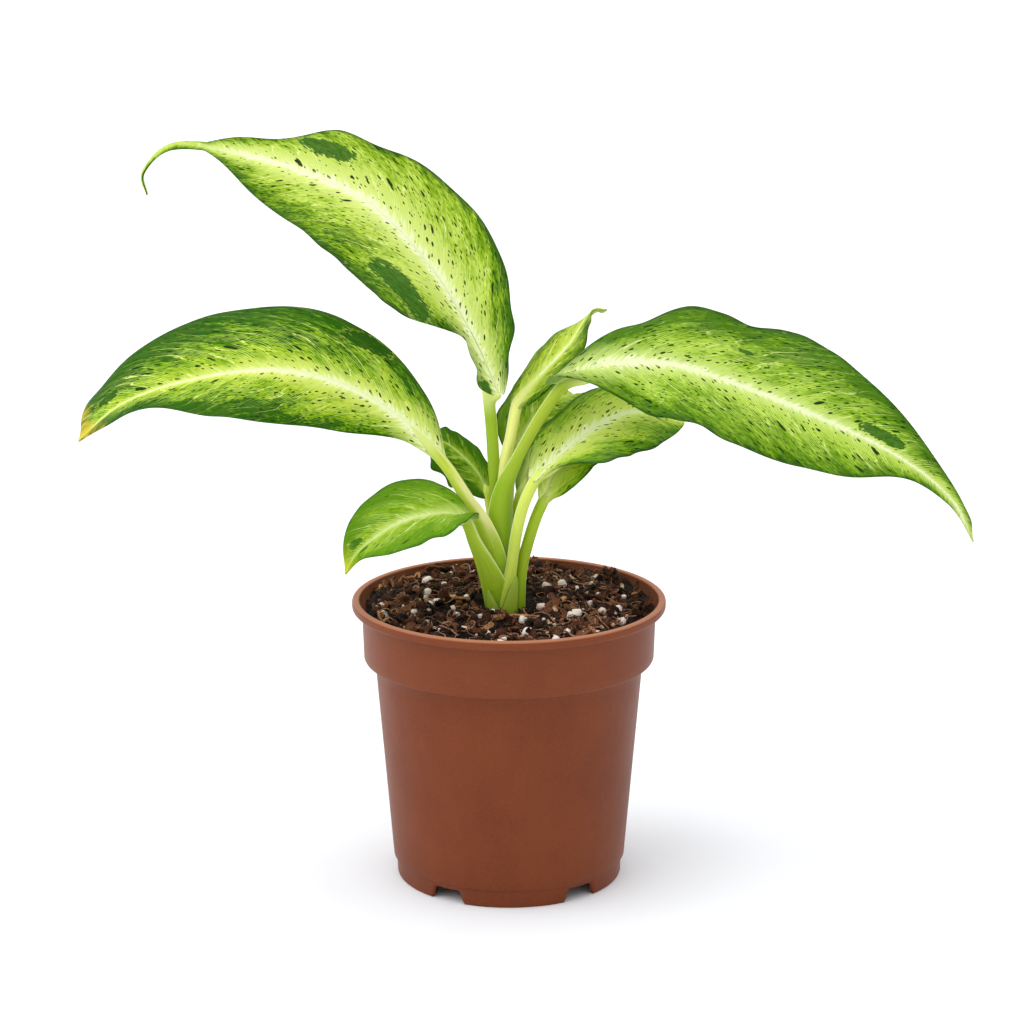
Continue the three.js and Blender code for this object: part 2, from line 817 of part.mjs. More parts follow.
addPiece('cane', toGeometry(toSolid(caneGeometry())), 'cane');
addPiece('scale_leaf', toGeometry(toSolid(scaleLeafGeometry())), 'scale_leaf');
for (const [name, leaf] of Object.entries(LEAVES)) {
  addPiece(`stalk_${name}`, toGeometry(stalks[name]), 'stalk');
  addPiece(`blade_${name}`, toGeometry(toSolid(bladeGeometry(leaf))), 'blade');
}

addPiece('soil', toGeometry(soilSolid(innerClear)), 'soil');

export default potted;
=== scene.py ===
"""Potted dieffenbachia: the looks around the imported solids, in metres, +Z up.

The sizes below are in millimetres, as they are read off the plant, and meshes are scaled to metres
when they are made. The side that is looked at faces -Y.

Each point of a leaf keeps two marks for its finish. The first, vein_place, says where the point's vein
leaves the midrib and how far along the vein the point is. There SIDE_SHIFT keeps the markings of the two
halves apart, and SIDE_MARK, with the sign of the half, tells them apart. The second, leaf_place, holds the
shares of the way to the tip and to the margin, and the distance from the midrib.
"""

import logging
import math
from dataclasses import dataclass, field
from enum import Enum

import bpy
import numpy as np
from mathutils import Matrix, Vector


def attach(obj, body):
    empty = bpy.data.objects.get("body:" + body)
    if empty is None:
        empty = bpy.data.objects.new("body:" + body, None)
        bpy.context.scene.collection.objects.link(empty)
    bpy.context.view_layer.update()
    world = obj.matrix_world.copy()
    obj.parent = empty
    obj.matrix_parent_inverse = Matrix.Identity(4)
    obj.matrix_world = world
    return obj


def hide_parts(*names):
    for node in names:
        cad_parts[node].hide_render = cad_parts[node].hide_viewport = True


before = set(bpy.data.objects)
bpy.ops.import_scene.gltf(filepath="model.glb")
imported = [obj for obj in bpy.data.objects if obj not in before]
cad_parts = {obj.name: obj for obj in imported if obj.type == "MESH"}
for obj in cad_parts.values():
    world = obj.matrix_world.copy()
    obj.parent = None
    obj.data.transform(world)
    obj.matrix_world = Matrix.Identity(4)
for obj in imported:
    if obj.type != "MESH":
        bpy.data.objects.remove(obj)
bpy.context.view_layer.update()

MM = 0.001
SEED = 20417
SIDE_MARK = 40.0
SIDE_SHIFT = 154.0
LOG = logging.getLogger("potted_plant")

Pair = tuple[float, float]
Triple = tuple[float, float, float]
Array = np.ndarray
Socket = bpy.types.NodeSocket
Material = bpy.types.Material
Piece = bpy.types.Object
Faces = list[tuple[int, ...]]
Curve = list[Pair]


class Side(Enum):
    """A half of a leaf blade, seen looking out along the leaf."""

    LEFT = 1
    RIGHT = -1

    @property
    def index(self) -> int:
        """Give the half's place in a pair of values."""
        return 0 if self is Side.LEFT else 1


class Slot(Enum):
    """The record's material slots."""

    POT = "pot_plastic"
    SOIL = "potting_soil"
    STEM = "stem_skin"
    STALK = "stalk_skin"
    LEAF = "leaf_skin"


def linear(code: str) -> tuple[float, float, float, float]:
    """Turn a screen colour such as "a6c24e" into linear light.

    Args:
        code: six hexadecimal digits.
    Returns:
        Red, green, blue and an alpha of one.
    """
    parts = [int(code[i:i + 2], 16) / 255 for i in (0, 2, 4)]
    red, green, blue = [c / 12.92 if c <= 0.04045 else ((c + 0.055) / 1.055) ** 2.4 for c in parts]
    return red, green, blue, 1.0


def smooth(x: Array, low: float, high: float) -> Array:
    """Rise from 0 at low to 1 at high along a smooth step."""
    f = np.clip((np.asarray(x, float) - low) / (high - low), 0, 1)
    return f * f * (3 - 2 * f)


def along(values: list[float], t: Array) -> Array:
    """Read values given at even steps from 0 to 1, eased in between.

    Args:
        values: two or more numbers, from base to tip.
        t: places from 0 to 1.
    Returns:
        The value at each place.
    """
    place = np.clip(t, 0, 1) * (len(values) - 1)
    i = np.minimum(place.astype(int), len(values) - 2)
    f = place - i
    eased = f * f * (3 - 2 * f)
    table = np.array(values, float)
    return table[i] + (table[i + 1] - table[i]) * eased


def unit(v: Array) -> Array:
    """Scale vectors, held in the last axis, to length one."""
    return v / np.maximum(np.linalg.norm(v, axis=-1, keepdims=True), 1e-9)


def compass(degrees: float) -> Array:
    """Give the level direction at an angle from +X towards +Y."""
    return np.array([math.cos(math.radians(degrees)), math.sin(math.radians(degrees)), 0.0])


class Route:
    """A smooth curve through a few points, read by its share of arc length."""

    FINENESS = 400

    def __init__(self, points: list[Triple]) -> None:
        """Lay the curve through the points.

        Args:
            points: places in millimetres, two or more.
        """
        p = np.array(points, float)
        p = np.vstack([2 * p[0] - p[1], p, 2 * p[-1] - p[-2]])
        u = np.linspace(0, len(points) - 1, self.FINENESS * 4 + 1)
        i = np.minimum(u.astype(int), len(points) - 2)
        f = (u - i)[:, None]
        a, b, c, d = p[i], p[i + 1], p[i + 2], p[i + 3]
        start, end = 0.5 * (c - a), 0.5 * (d - b)
        self.track = (b + start * f + (-3 * b + 3 * c - 2 * start - end) * f ** 2
                      + (2 * b - 2 * c + start + end) * f ** 3)
        steps = np.linalg.norm(np.diff(self.track, axis=0), axis=1)
        self.reach = np.concatenate([[0], np.cumsum(steps)])
        self.length = float(self.reach[-1])

    def at(self, t: Array) -> Array:
        """Give the points at shares of the arc length."""
        s = np.clip(t, 0, 1) * self.length
        return np.stack([np.interp(s, self.reach, self.track[:, k]) for k in range(3)], axis=-1)

    def heading(self, t: Array) -> Array:
        """Give the unit tangents at shares of the arc length."""
        return unit(self.at(np.clip(t + 0.002, 0, 1)) - self.at(np.clip(t - 0.002, 0, 1)))


class Rumple:
    """Seeded smooth noise over two or three coordinates, for shapes."""

    SIZE = 64
    DRIFT = 7.3

    def __init__(self, seed: int) -> None:
        """Draw the lattice.

        Args:
            seed: number that fixes the draw.
        """
        self.lattice = np.random.default_rng(seed).random((self.SIZE,) * 3)

    def at(self, x: Array, y: Array, z: Array | float = 0.0) -> Array:
        """Give values from -1 to 1 at the coordinates, one cell wide."""
        x, y, z = np.broadcast_arrays(np.asarray(x, float), y, z)
        cell = [np.floor(c).astype(int) for c in (x, y, z)]
        f = [c - k for c, k in zip((x, y, z), cell)]
        f = [g * g * (3 - 2 * g) for g in f]
        total = np.zeros(x.shape)
        for corner in range(8):
            bits = [(corner >> k) & 1 for k in range(3)]
            weight = np.prod([g if b else 1 - g for g, b in zip(f, bits)], axis=0)
            total += weight * self.lattice[tuple((k + b) % self.SIZE for k, b in zip(cell, bits))]
        return 2 * total - 1

    def rough(self, x: Array, y: Array, z: Array | float = 0.0, octaves: int = 4) -> Array:
        """Sum finer and finer layers of the noise.

        Args:
            x: first coordinate, in cells of the coarsest layer.
            y: second coordinate.
            z: third coordinate.
            octaves: number of layers.
        Returns:
            Values of about -1 to 1.
        """
        total, weight = 0.0, 1.0
        for octave in range(octaves):
            scale = 2 ** octave
            layer = self.at(scale * np.asarray(x), scale * np.asarray(y), scale * z + self.DRIFT * octave)
            total = total + weight * layer
            weight *= 0.5
        return total / 1.6


@dataclass
class Draft:
    """Points and faces of a piece while it is being made, in millimetres."""

    points: list[Array] = field(default_factory=list)
    faces: Faces = field(default_factory=list)
    finishes: list[int] = field(default_factory=list)
    marks: dict[str, list[Array]] = field(default_factory=dict)
    count: int = 0

    def add(self, points: Array, faces: Faces, finish: int = 0,
            marks: dict[str, Array] | None = None) -> None:
        """Add points and the faces between them.

        Args:
            points: rows of x, y, z.
            faces: corner numbers, counted from the first of these points.
            finish: which of the piece's materials the faces take.
            marks: further rows of three numbers kept at each point, by name.
        """
        self.points.append(np.asarray(points, float).reshape(-1, 3))
        self.faces.extend(tuple(i + self.count for i in face) for face in faces)
        self.finishes.extend([finish] * len(faces))
        for name, rows in (marks or {}).items():
            self.marks.setdefault(name, []).append(np.asarray(rows, float).reshape(-1, 3))
        self.count += len(self.points[-1])

    def piece(self, name: str, materials: list[Material], is_round: bool = True) -> Piece:
        """Make the Blender object.

        Args:
            name: the piece's name.
            materials: its materials, in the order that `finish` counts them.
            is_round: whether the faces are shaded smooth.
        Returns:
            The object, linked to the scene.
        """
        mesh = bpy.data.meshes.new(name)
        mesh.from_pydata((np.vstack(self.points) * MM).tolist(), [], self.faces)
        for material in materials:
            mesh.materials.append(material)
        mesh.polygons.foreach_set("material_index", self.finishes)
        mesh.polygons.foreach_set("use_smooth", [is_round] * len(self.faces))
        for key, rows in self.marks.items():
            mark = mesh.attributes.new(key, "FLOAT_VECTOR", "POINT")
            mark.data.foreach_set("vector", np.vstack(rows).astype(np.float32).ravel())
        mesh.update()
        made = bpy.data.objects.new(name, mesh)
        bpy.context.scene.collection.objects.link(made)
        return made


def seat(piece: Piece, replaced: tuple[str, ...] = ()) -> None:
    """Let a piece ride with the plant and stand for its solids.

    Args:
        piece: the finished object.
        replaced: names of the solids that it stands for.
    """
    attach(piece, "root")
    if replaced:
        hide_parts(*replaced)
    stands_for = ", ".join(replaced) or "nothing"
    LOG.info("%s: %d faces, stands for %s", piece.name, len(piece.data.polygons), stands_for)


def grid_faces(rows: int, columns: int, closed: bool = False) -> Faces:
    """List the quads between rows of points.

    Args:
        rows: number of rows.
        columns: points in each row.
        closed: whether each row runs round to its own start.
    Returns:
        Corner numbers of each quad.
    """
    across = columns if closed else columns - 1
    quads = []
    for i in range(rows - 1):
        for j in range(across):
            k = (j + 1) % columns
            quads.append((i * columns + j, i * columns + k, (i + 1) * columns + k, (i + 1) * columns + j))
    return quads


def tube_faces(rows: int, around: int) -> Faces:
    """List the faces of a closed tube: the quads between its rings, and both ends.

    Args:
        rows: number of rings.
        around: points in each ring.
    Returns:
        Corner numbers of each face.
    """
    last = (rows - 1) * around
    ends = [tuple(range(around))[::-1], tuple(range(last, last + around))]
    return grid_faces(rows, around, closed=True) + ends


class Paint:
    """Short ways to lay out one material's nodes."""

    def __init__(self, name: str) -> None:
        """Start a material with a principled shader.

        Args:
            name: the material's name.
        """
        self.material = bpy.data.materials.new(name)
        self.material.use_nodes = True
        self.tree = self.material.node_tree
        self.tree.nodes.clear()
        self.shader = self.tree.nodes.new("ShaderNodeBsdfPrincipled")
        output = self.tree.nodes.new("ShaderNodeOutputMaterial")
        self.tree.links.new(self.shader.outputs["BSDF"], output.inputs["Surface"])

    def feed(self, socket: Socket, value: object) -> None:
        """Link or set an input."""
        if isinstance(value, Socket):
            self.tree.links.new(value, socket)
        elif isinstance(value, str):
            socket.default_value = linear(value)
        else:
            socket.default_value = value

    def set(self, **values: object) -> None:
        """Feed the shader's inputs, with underscores for the spaces in their names."""
        for key, value in values.items():
            self.feed(self.shader.inputs[key.replace("_", " ")], value)

    def mark(self, name: str) -> Socket:
        """Read three numbers kept at each point of the mesh."""
        node = self.tree.nodes.new("ShaderNodeAttribute")
        node.attribute_name = name
        return node.outputs["Vector"]

    def place(self) -> Socket:
        """Read the place on the object, in millimetres."""
        node = self.tree.nodes.new("ShaderNodeTexCoord")
        return self.stretch(node.outputs["Object"], (1000, 1000, 1000))

    def parts(self, vector: Socket) -> list[Socket]:
        """Split a vector into its three numbers."""
        node = self.tree.nodes.new("ShaderNodeSeparateXYZ")
        self.feed(node.inputs[0], vector)
        return list(node.outputs)

    def times(self, a: object, b: object) -> Socket:
        """Multiply two numbers."""
        return self.math("MULTIPLY", a, b)

    def plus(self, a: object, b: object) -> Socket:
        """Add two numbers."""
        return self.math("ADD", a, b)

    def minus(self, a: object, b: object) -> Socket:
        """Take the second number from the first."""
        return self.math("SUBTRACT", a, b)

    def stretch(self, vector: Socket, by: Triple, shift: Triple = (0, 0, 0)) -> Socket:
        """Scale a vector and then shift it."""
        node = self.tree.nodes.new("ShaderNodeVectorMath")
        node.operation = "MULTIPLY_ADD"
        self.feed(node.inputs[0], vector)
        node.inputs[1].default_value = by
        node.inputs[2].default_value = shift
        return node.outputs[0]

    def math(self, operation: str, a: object, b: object = 0.0, c: object = 0.0) -> Socket:
        """Work out one number from up to three.

        Args:
            operation: the sum's name, such as "MULTIPLY".
            a: first number or socket.
            b: second number or socket.
            c: third number or socket.
        Returns:
            The result's socket.
        """
        node = self.tree.nodes.new("ShaderNodeMath")
        node.operation = operation
        for socket, value in zip(node.inputs, (a, b, c)):
            self.feed(socket, value)
        return node.outputs[0]

    def step(self, value: object, low: float, high: float, to_low: float = 0.0,
             to_high: float = 1.0) -> Socket:
        """Map a number smoothly from one range to another, held at both ends."""
        node = self.tree.nodes.new("ShaderNodeMapRange")
        node.interpolation_type = "SMOOTHSTEP"
        for socket, number in zip(node.inputs, (value, low, high, to_low, to_high)):
            self.feed(socket, number)
        return node.outputs[0]

    def noise(self, vector: Socket, scale: float, detail: float = 3.0, roughness: float = 0.5,
              twist: float = 0.0) -> Socket:
        """Give smooth noise of about 0.3 to 0.7 at a place."""
        node = self.tree.nodes.new("ShaderNodeTexNoise")
        self.feed(node.inputs["Vector"], vector)
        node.inputs["Scale"].default_value = scale
        node.inputs["Detail"].default_value = detail
        node.inputs["Roughness"].default_value = roughness
        node.inputs["Distortion"].default_value = twist
        return node.outputs["Fac"]

    def steps(self, vector: Socket, size: Triple) -> Socket:
        """Hold a vector still over steps of a size, for edges that follow the veins like stairs."""
        node = self.tree.nodes.new("ShaderNodeVectorMath")
        node.operation = "SNAP"
        self.feed(node.inputs[0], vector)
        node.inputs[1].default_value = size
        return node.outputs[0]

    def cells(self, vector: Socket, scale: float) -> tuple[Socket, Socket]:
        """Give the distance to points scattered over a plane, and each point's random colour."""
        node = self.tree.nodes.new("ShaderNodeTexVoronoi")
        node.voronoi_dimensions = "2D"
        self.feed(node.inputs["Vector"], vector)
        node.inputs["Scale"].default_value = scale
        node.inputs["Randomness"].default_value = 1.0
        return node.outputs["Distance"], node.outputs["Color"]

    def centred(self, value: Socket, by: float) -> Socket:
        """Turn noise around 0.5 into a shift around 0."""
        return self.times(self.minus(value, 0.5), by)

    def blend(self, share: object, first: object, second: object) -> Socket:
        """Mix two colours.

        Args:
            share: 0 for the first, 1 for the second.
            first: colour code or socket.
            second: colour code or socket.
        Returns:
            The mixed colour's socket.
        """
        node = self.tree.nodes.new("ShaderNodeMix")
        node.data_type = "RGBA"
        self.feed(node.inputs[0], share)
        self.feed(node.inputs[6], first)
        self.feed(node.inputs[7], second)
        return node.outputs[2]

    def relief(self, height: Socket, depth: float, strength: float = 1.0) -> None:
        """Raise the surface's shading by a height.

        Args:
            height: socket of the height, from 0 to 1.
            depth: what a height of 1 means, in millimetres.
            strength: how much of it shows.
        """
        node = self.tree.nodes.new("ShaderNodeBump")
        node.inputs["Strength"].default_value = strength
        node.inputs["Distance"].default_value = depth * MM
        self.feed(node.inputs["Height"], height)
        self.tree.links.new(node.outputs["Normal"], self.shader.inputs["Normal"])


# Finishes


@dataclass(frozen=True)
class PotPlastic:
    """Moulded terracotta-brown plastic, satin, faintly mottled and scuffed, with a painted highlight along
    the top of the rim.
    """

    body: str = "743719"
    deep: str = "6c3218"
    dusty: str = "955637"
    # Colour of the painted highlight along the top of the rim.
    paler_tone: str = "c28362"
    inside: str = "6e3c1f"
    rim_top: float = 110.0
    bead_foot: float = 106.4
    collar_foot: float = 86.8
    rim_inner: float = 57.2

    def make(self) -> Material:
        """Lay out the material."""
        paint = Paint("pot_plastic")
        place = paint.place()
        cloud = paint.noise(place, 0.03, 4, 0.55)
        flow = paint.noise(paint.stretch(place, (1, 1, 0.5)), 0.12, 3, 0.6)
        grain = paint.noise(place, 3.0, 4, 0.7)
        fine = paint.noise(place, 6.0, 2, 0.5)
        tone = paint.plus(paint.times(cloud, 0.7), paint.times(flow, 0.3))
        colour = paint.blend(paint.step(tone, 0.36, 0.64), self.deep, self.body)
        colour = paint.blend(paint.step(grain, 0.42, 0.62, 0.0, 0.26), colour, self.dusty)
        scuff = paint.noise(paint.stretch(place, (1, 1, 0.35)), 0.5, 6, 0.72)
        colour = paint.blend(paint.step(scuff, 0.6, 0.78, 0.0, 0.25), colour, self.dusty)
        x, y, z = paint.parts(place)
        radius = paint.math("SQRT", paint.plus(paint.times(x, x), paint.times(y, y)))
        # Painted highlight: the top of the rim is blended towards a paler colour.
        lip = paint.step(z, self.rim_top - 0.8, self.rim_top - 0.1, 0.0, 0.75)
        colour = paint.blend(lip, colour, self.paler_tone)
        collar = paint.step(z, self.collar_foot - 3.8, self.collar_foot + 1.4, 0.0, 0.12)
        colour = paint.blend(collar, colour, self.dusty)
        inner = paint.step(radius, self.rim_inner - 0.3, self.rim_inner + 0.1, 0.85, 0.0)
        wall = paint.times(paint.step(z, self.bead_foot, self.bead_foot + 0.3), inner)
        colour = paint.blend(wall, colour, self.inside)
        roughness = paint.step(tone, 0.3, 0.7, 0.46, 0.4)
        paint.set(Base_Color=colour, Roughness=roughness, Specular_IOR_Level=0.14)
        height = paint.plus(paint.times(grain, 0.7), paint.times(fine, 0.3))
        paint.relief(height, 0.07, 0.7)
        return paint.material


@dataclass(frozen=True)
class PottingSoil:
    """Damp peat with paler fibres and crumbs, and painted shade that darkens its hollows nearly to black.
    """

    # Colour of the darker clumps, and of the painted shade in the hollows.
    dark: str = "040201"
    body: str = "1c100a"
    pale: str = "84553a"

    def make(self) -> Material:
        """Lay out the material."""
        paint = Paint("potting_soil")
        place = paint.place()
        clump = paint.noise(place, 0.22, 5, 0.6)
        crumb = paint.noise(place, 1.1, 6, 0.7, 0.4)
        thread = paint.noise(paint.stretch(place, (0.5, 2.4, 1.6)), 1.4, 4, 0.65, 1.2)
        colour = paint.blend(paint.step(clump, 0.4, 0.6), self.dark, self.body)
        colour = paint.blend(paint.step(crumb, 0.52, 0.66, 0.0, 0.7), colour, self.pale)
        colour = paint.blend(paint.step(thread, 0.58, 0.66, 0.0, 0.75), colour, self.pale)
        # Painted shade: where the tint mark holds a low lump height, in the bed's hollows, the colour goes
        # towards near black.
        raised, _, _ = paint.parts(paint.mark("tint"))
        colour = paint.blend(paint.step(raised, 0.3, 0.62, 0.85, 0.0), colour, self.dark)
        roughness = paint.step(crumb, 0.3, 0.7, 0.98, 0.78)
        paint.set(Base_Color=colour, Roughness=roughness, Specular_IOR_Level=0.3)
        paint.relief(paint.plus(crumb, paint.times(thread, 0.6)), 1.4, 1.0)
        return paint.material


@dataclass(frozen=True)
class Fragment:
    """Loose matter in the soil: bark, shreds, fibres or perlite.

    The grain is the fineness of its speckle, and luck is how much the shades of single bits differ.
    """

    name: str
    body: str
    pale: str
    grain: float = 1.5
    luck: float = 0.4

    def make(self) -> Material:
        """Lay out the material."""
        paint = Paint(self.name)
        place = paint.place()
        patch = paint.noise(place, 0.16, 2, 0.5)
        grain = paint.noise(paint.stretch(place, (1, 0.45, 1)), self.grain, 5, 0.7, 0.5)
        luck, _, _ = paint.parts(paint.mark("tint"))
        share = paint.plus(paint.times(patch, 0.35), paint.times(grain, 0.9))
        share = paint.math("MULTIPLY_ADD", luck, self.luck, share)
        colour = paint.blend(paint.step(share, 0.64, 1.05), self.body, self.pale)
        paint.set(Base_Color=colour, Roughness=0.85, Specular_IOR_Level=0.25)
        paint.relief(grain, 0.6, 1.0)
        return paint.material


@dataclass(frozen=True)
class Blotch:
    """A large dark patch on a blade, with an edge that steps along the veins."""

    side: Side
    t: float
    distance: float
    length: float
    breadth: float


@dataclass(frozen=True)
class Swell:
    """A stretch of the margin that runs further out, or further in where the gain is below 0."""

    side: Side
    t: float
    reach: float
    gain: float


@dataclass(frozen=True)
class Specks:
    """One size of the small dark marks that are drawn out along the veins."""

    cell: float
    radius: float
    share: float
    stretch: float = 0.5


SPECKS = (Specks(4.2, 0.16, 0.6, 0.8), Specks(2.8, 0.17, 0.28, 0.9), Specks(9.0, 0.11, 0.4, 0.6),
          Specks(1.9, 0.2, 0.06, 0.9))


@dataclass(frozen=True)
class LeafFace:
    """Upper skin of a blade: cream round the midrib, lime, and green towards the margin.

    Lean makes the left half paler and the right half darker, tipward darkens the tip, and dark_base the
    base. The cream zone is cream_width wide, times base_cream at the base, and ends at cream_until.
    """

    name: str
    cream_width: float = 2.4
    margin_from: float = 0.6
    margin_strength: float = 0.8
    speckled: float = 1.0
    shade: float = 0.0
    lean: float = 0.0
    tipward: float = 0.0
    dark_base: float = 0.0
    base_cream: float = 1.8
    yellow_tip: float = 0.0
    cream_until: float = 1.3
    blotches: tuple[Blotch, ...] = ()
    core: str = "f5fad0"
    cream: str = "dcea7c"
    thread: str = "d0e27a"
    pale: str = "bdd24c"
    lime: str = "9aba22"
    leaf: str = "699010"
    deep: str = "2f5f05"
    rim: str = "254f06"
    patch: str = "386a1c"
    speck: str = "12300a"
    yellow: str = "d9bd35"
    paler_tone: str = "5c8c3e"
    line: str = "e8f0b0"
    thread_gap: float = 0.62
    vein_gap: float = 4.3

    def make(self, blade: "LeafBlade") -> Material:
        """Lay out the material.

        Args:
            blade: the blade that wears it, for the sizes of its patches.
        Returns:
            The material.
        """
        paint = Paint(self.name + "_face")
        vein = paint.mark("vein_place")
        t, out, distance = paint.parts(paint.mark("leaf_place"))
        streak = paint.noise(paint.stretch(vein, (1, 0.16, 1)), 0.9, 3, 0.6)
        mottle = paint.noise(paint.stretch(vein, (1, 0.7, 1)), 0.17, 5, 0.66, 0.3)
        block = paint.noise(paint.steps(vein, (0.62, 1.3, 1)), 0.55, 4, 0.7)
        cloud = paint.noise(paint.stretch(vein, (1, 0.7, 1)), 0.05, 2, 0.5)
        mixed = paint.plus(paint.centred(mottle, 1.3), paint.centred(block, 1.7))

        tone = paint.plus(paint.plus(out, paint.centred(cloud, 0.9)), mixed)
        if self.lean:
            tone = paint.math("MULTIPLY_ADD", paint.parts(vein)[2], -self.lean / SIDE_MARK, tone)
        if self.dark_base:
            tone = paint.plus(tone, paint.step(t, 0.02, 0.26, self.dark_base, 0.0))
        if self.tipward:
            tone = paint.math("MULTIPLY_ADD", paint.minus(t, 0.5), self.tipward, tone)
        first = self.margin_from - 0.55
        colour = paint.blend(paint.step(tone, first, first + 0.4), self.pale, self.lime)
        colour = paint.blend(paint.step(tone, first + 0.2, first + 0.65), colour, self.leaf)
        colour = paint.blend(paint.step(streak, 0.5, 0.66, 0.0, 0.22), colour, self.leaf)
        margin = paint.step(tone, first + 0.5, first + 0.82, 0.0, self.margin_strength)
        colour = paint.blend(margin, colour, self.deep)
        if self.shade:
            colour = paint.blend(self.shade, colour, self.deep)
        rim = paint.step(paint.plus(out, paint.centred(mottle, 0.2)), 0.9, 1.0, 0.0, 0.92)
        colour = paint.blend(rim, colour, self.rim)
        colour = self.veined(paint, vein, colour, cloud)
        colour = self.creamed(paint, colour, t, distance, paint.plus(paint.centred(streak, 5.0), mixed))
        colour = self.speckle(paint, vein, colour, distance, block)
        for blotch in self.blotches:
            colour = self.patched(paint, blade, blotch, colour)
        line = paint.times(paint.step(distance, 0.15, 0.5, 0.32, 0.0),
                           paint.step(t, self.cream_until - 0.1, self.cream_until, 1.0, 0.15))
        colour = paint.blend(line, colour, self.line)
        if self.yellow_tip:
            tip = paint.plus(t, paint.centred(mottle, 0.25))
            colour = paint.blend(paint.step(tip, 1 - self.yellow_tip, 1.0, 0.0, 0.85), colour, self.yellow)

        paint.set(Base_Color=colour, Roughness=paint.step(mottle, 0.3, 0.7, 0.4, 0.52),
                  Specular_IOR_Level=0.045, Subsurface_Weight=0.06,
                  Subsurface_Radius=(0.7, 1.0, 0.15), Subsurface_Scale=0.001)
        thread = paint.noise(paint.stretch(vein, (1, 0.06, 1)), 2.2, 2, 0.5)
        paint.relief(paint.plus(paint.times(thread, 0.6), paint.times(block, 0.25)), 0.28, 0.6)
        return paint.material

    def speckle(self, paint: Paint, vein: Socket, colour: Socket, distance: Socket,
                block: Socket) -> Socket:
        """Scatter the small dark marks, size by size, clear of the midrib."""
        for k, specks in enumerate(SPECKS):
            shift = (13.7 * k, 7.1 * k, 0.0)
            gap, tint = paint.cells(paint.stretch(vein, (1, specks.stretch, 1), shift), 1 / specks.cell)
            luck, _, bulk = paint.parts(tint)
            ragged = paint.plus(gap, paint.centred(block, 0.2))
            radius = paint.math("MULTIPLY_ADD", bulk, specks.radius * 0.9, specks.radius * 0.3)
            spot = paint.step(paint.minus(ragged, radius), -0.03, 0.02, 1.0, 0.0)
            shown = paint.math("LESS_THAN", luck, min(specks.share * self.speckled, 1.0))
            spot = paint.times(paint.times(spot, shown), paint.step(distance, 0.8, 2.4))
            colour = paint.blend(paint.times(spot, 0.97), colour, self.speck)
        return colour

    def veined(self, paint: Paint, vein: Socket, colour: Socket, cloud: Socket) -> Socket:
        """Draw the pale side veins: many fine ones and a few strong, broken ones."""
        station, _, _ = paint.parts(vein)
        _, out, _ = paint.parts(paint.mark("leaf_place"))
        fine = paint.math("PINGPONG", paint.plus(station, paint.centred(cloud, 6.0)), self.thread_gap)
        patchy = paint.noise(paint.stretch(vein, (1, 0.35, 1)), 0.22, 3, 0.6)
        shown = paint.step(patchy, 0.38, 0.6, 0.06, 0.8)
        share = paint.times(paint.step(fine, 0.0, 0.3, 1.0, 0.0), shown)
        share = paint.times(share, paint.step(out, 0.4, 0.85, 1.0, 0.16))
        colour = paint.blend(share, colour, self.thread)
        bent = paint.plus(paint.centred(cloud, 16.0), paint.centred(patchy, 7.0))
        strong = paint.math("PINGPONG", paint.plus(station, bent), self.vein_gap)
        broken = paint.step(paint.noise(paint.stretch(vein, (0.5, 0.3, 1)), 0.3, 2, 0.5), 0.4, 0.52)
        share = paint.times(paint.step(strong, 0.0, 0.45, 1.0, 0.0), broken)
        share = paint.times(share, paint.step(out, 0.45, 0.88, 1.0, 0.22))
        return paint.blend(share, colour, self.cream)

    def creamed(self, paint: Paint, colour: Socket, t: Socket, distance: Socket, feather: Socket) -> Socket:
        """Lay the cream zone along the midrib, feathered along the veins."""
        width = paint.times(paint.step(t, 0.3, 0.95, 1.0, 0.25), self.cream_width)
        width = paint.times(width, paint.step(t, 0.04, 0.2, self.base_cream, 1.0))
        reach = paint.minus(paint.math("DIVIDE", distance, width), feather)
        kept = paint.step(t, self.cream_until - 0.15, self.cream_until, 1.0, 0.0)
        for ends, tint in ((6.0, self.cream), (2.0, self.core)):
            colour = paint.blend(paint.times(paint.step(reach, 0.0, ends, 0.85, 0.0), kept), colour, tint)
        return colour

    def patched(self, paint: Paint, blade: "LeafBlade", blotch: Blotch, colour: Socket) -> Socket:
        """Lay one large dark patch over the colour.

        Args:
            paint: the material being laid out.
            blade: the blade that wears it.
            blotch: where the patch is and how large.
            colour: the colour so far.
        Returns:
            The colour with the patch.
        """
        squareness = 2.6
        vein = paint.mark("vein_place")
        stepped = paint.steps(vein, (0.8, 1.8, 1))
        t, _, distance = paint.parts(paint.mark("leaf_place"))
        half = paint.parts(vein)[2]
        lengthwise = paint.times(paint.minus(t, blotch.t), 2 * blade.route.length / blotch.length)
        crosswise = paint.times(paint.minus(distance, blotch.distance), 2 / blotch.breadth)
        square = paint.plus(paint.math("POWER", paint.math("ABSOLUTE", lengthwise), squareness),
                            paint.math("POWER", paint.math("ABSOLUTE", crosswise), squareness))
        ragged = paint.plus(square, paint.centred(paint.noise(stepped, 0.3, 4, 0.85), 5.2))
        inside = paint.step(ragged, 0.93, 1.07, 0.93, 0.0)
        own = paint.math("GREATER_THAN", paint.times(half, blotch.side.value), 0.0)
        tone = paint.noise(vein, 0.3, 3, 0.6)
        skin = paint.blend(paint.step(tone, 0.35, 0.65), self.patch, self.rim)
        paler_tone = paint.noise(vein, 0.9, 4, 0.7)
        skin = paint.blend(paint.step(paler_tone, 0.5, 0.68, 0.0, 0.55), skin, self.paler_tone)
        edge = paint.times(paint.step(ragged, 0.98, 1.12), paint.step(ragged, 1.12, 1.5, 0.5, 0.0))
        colour = paint.blend(paint.times(edge, own), colour, self.pale)
        return paint.blend(paint.times(inside, own), colour, skin)


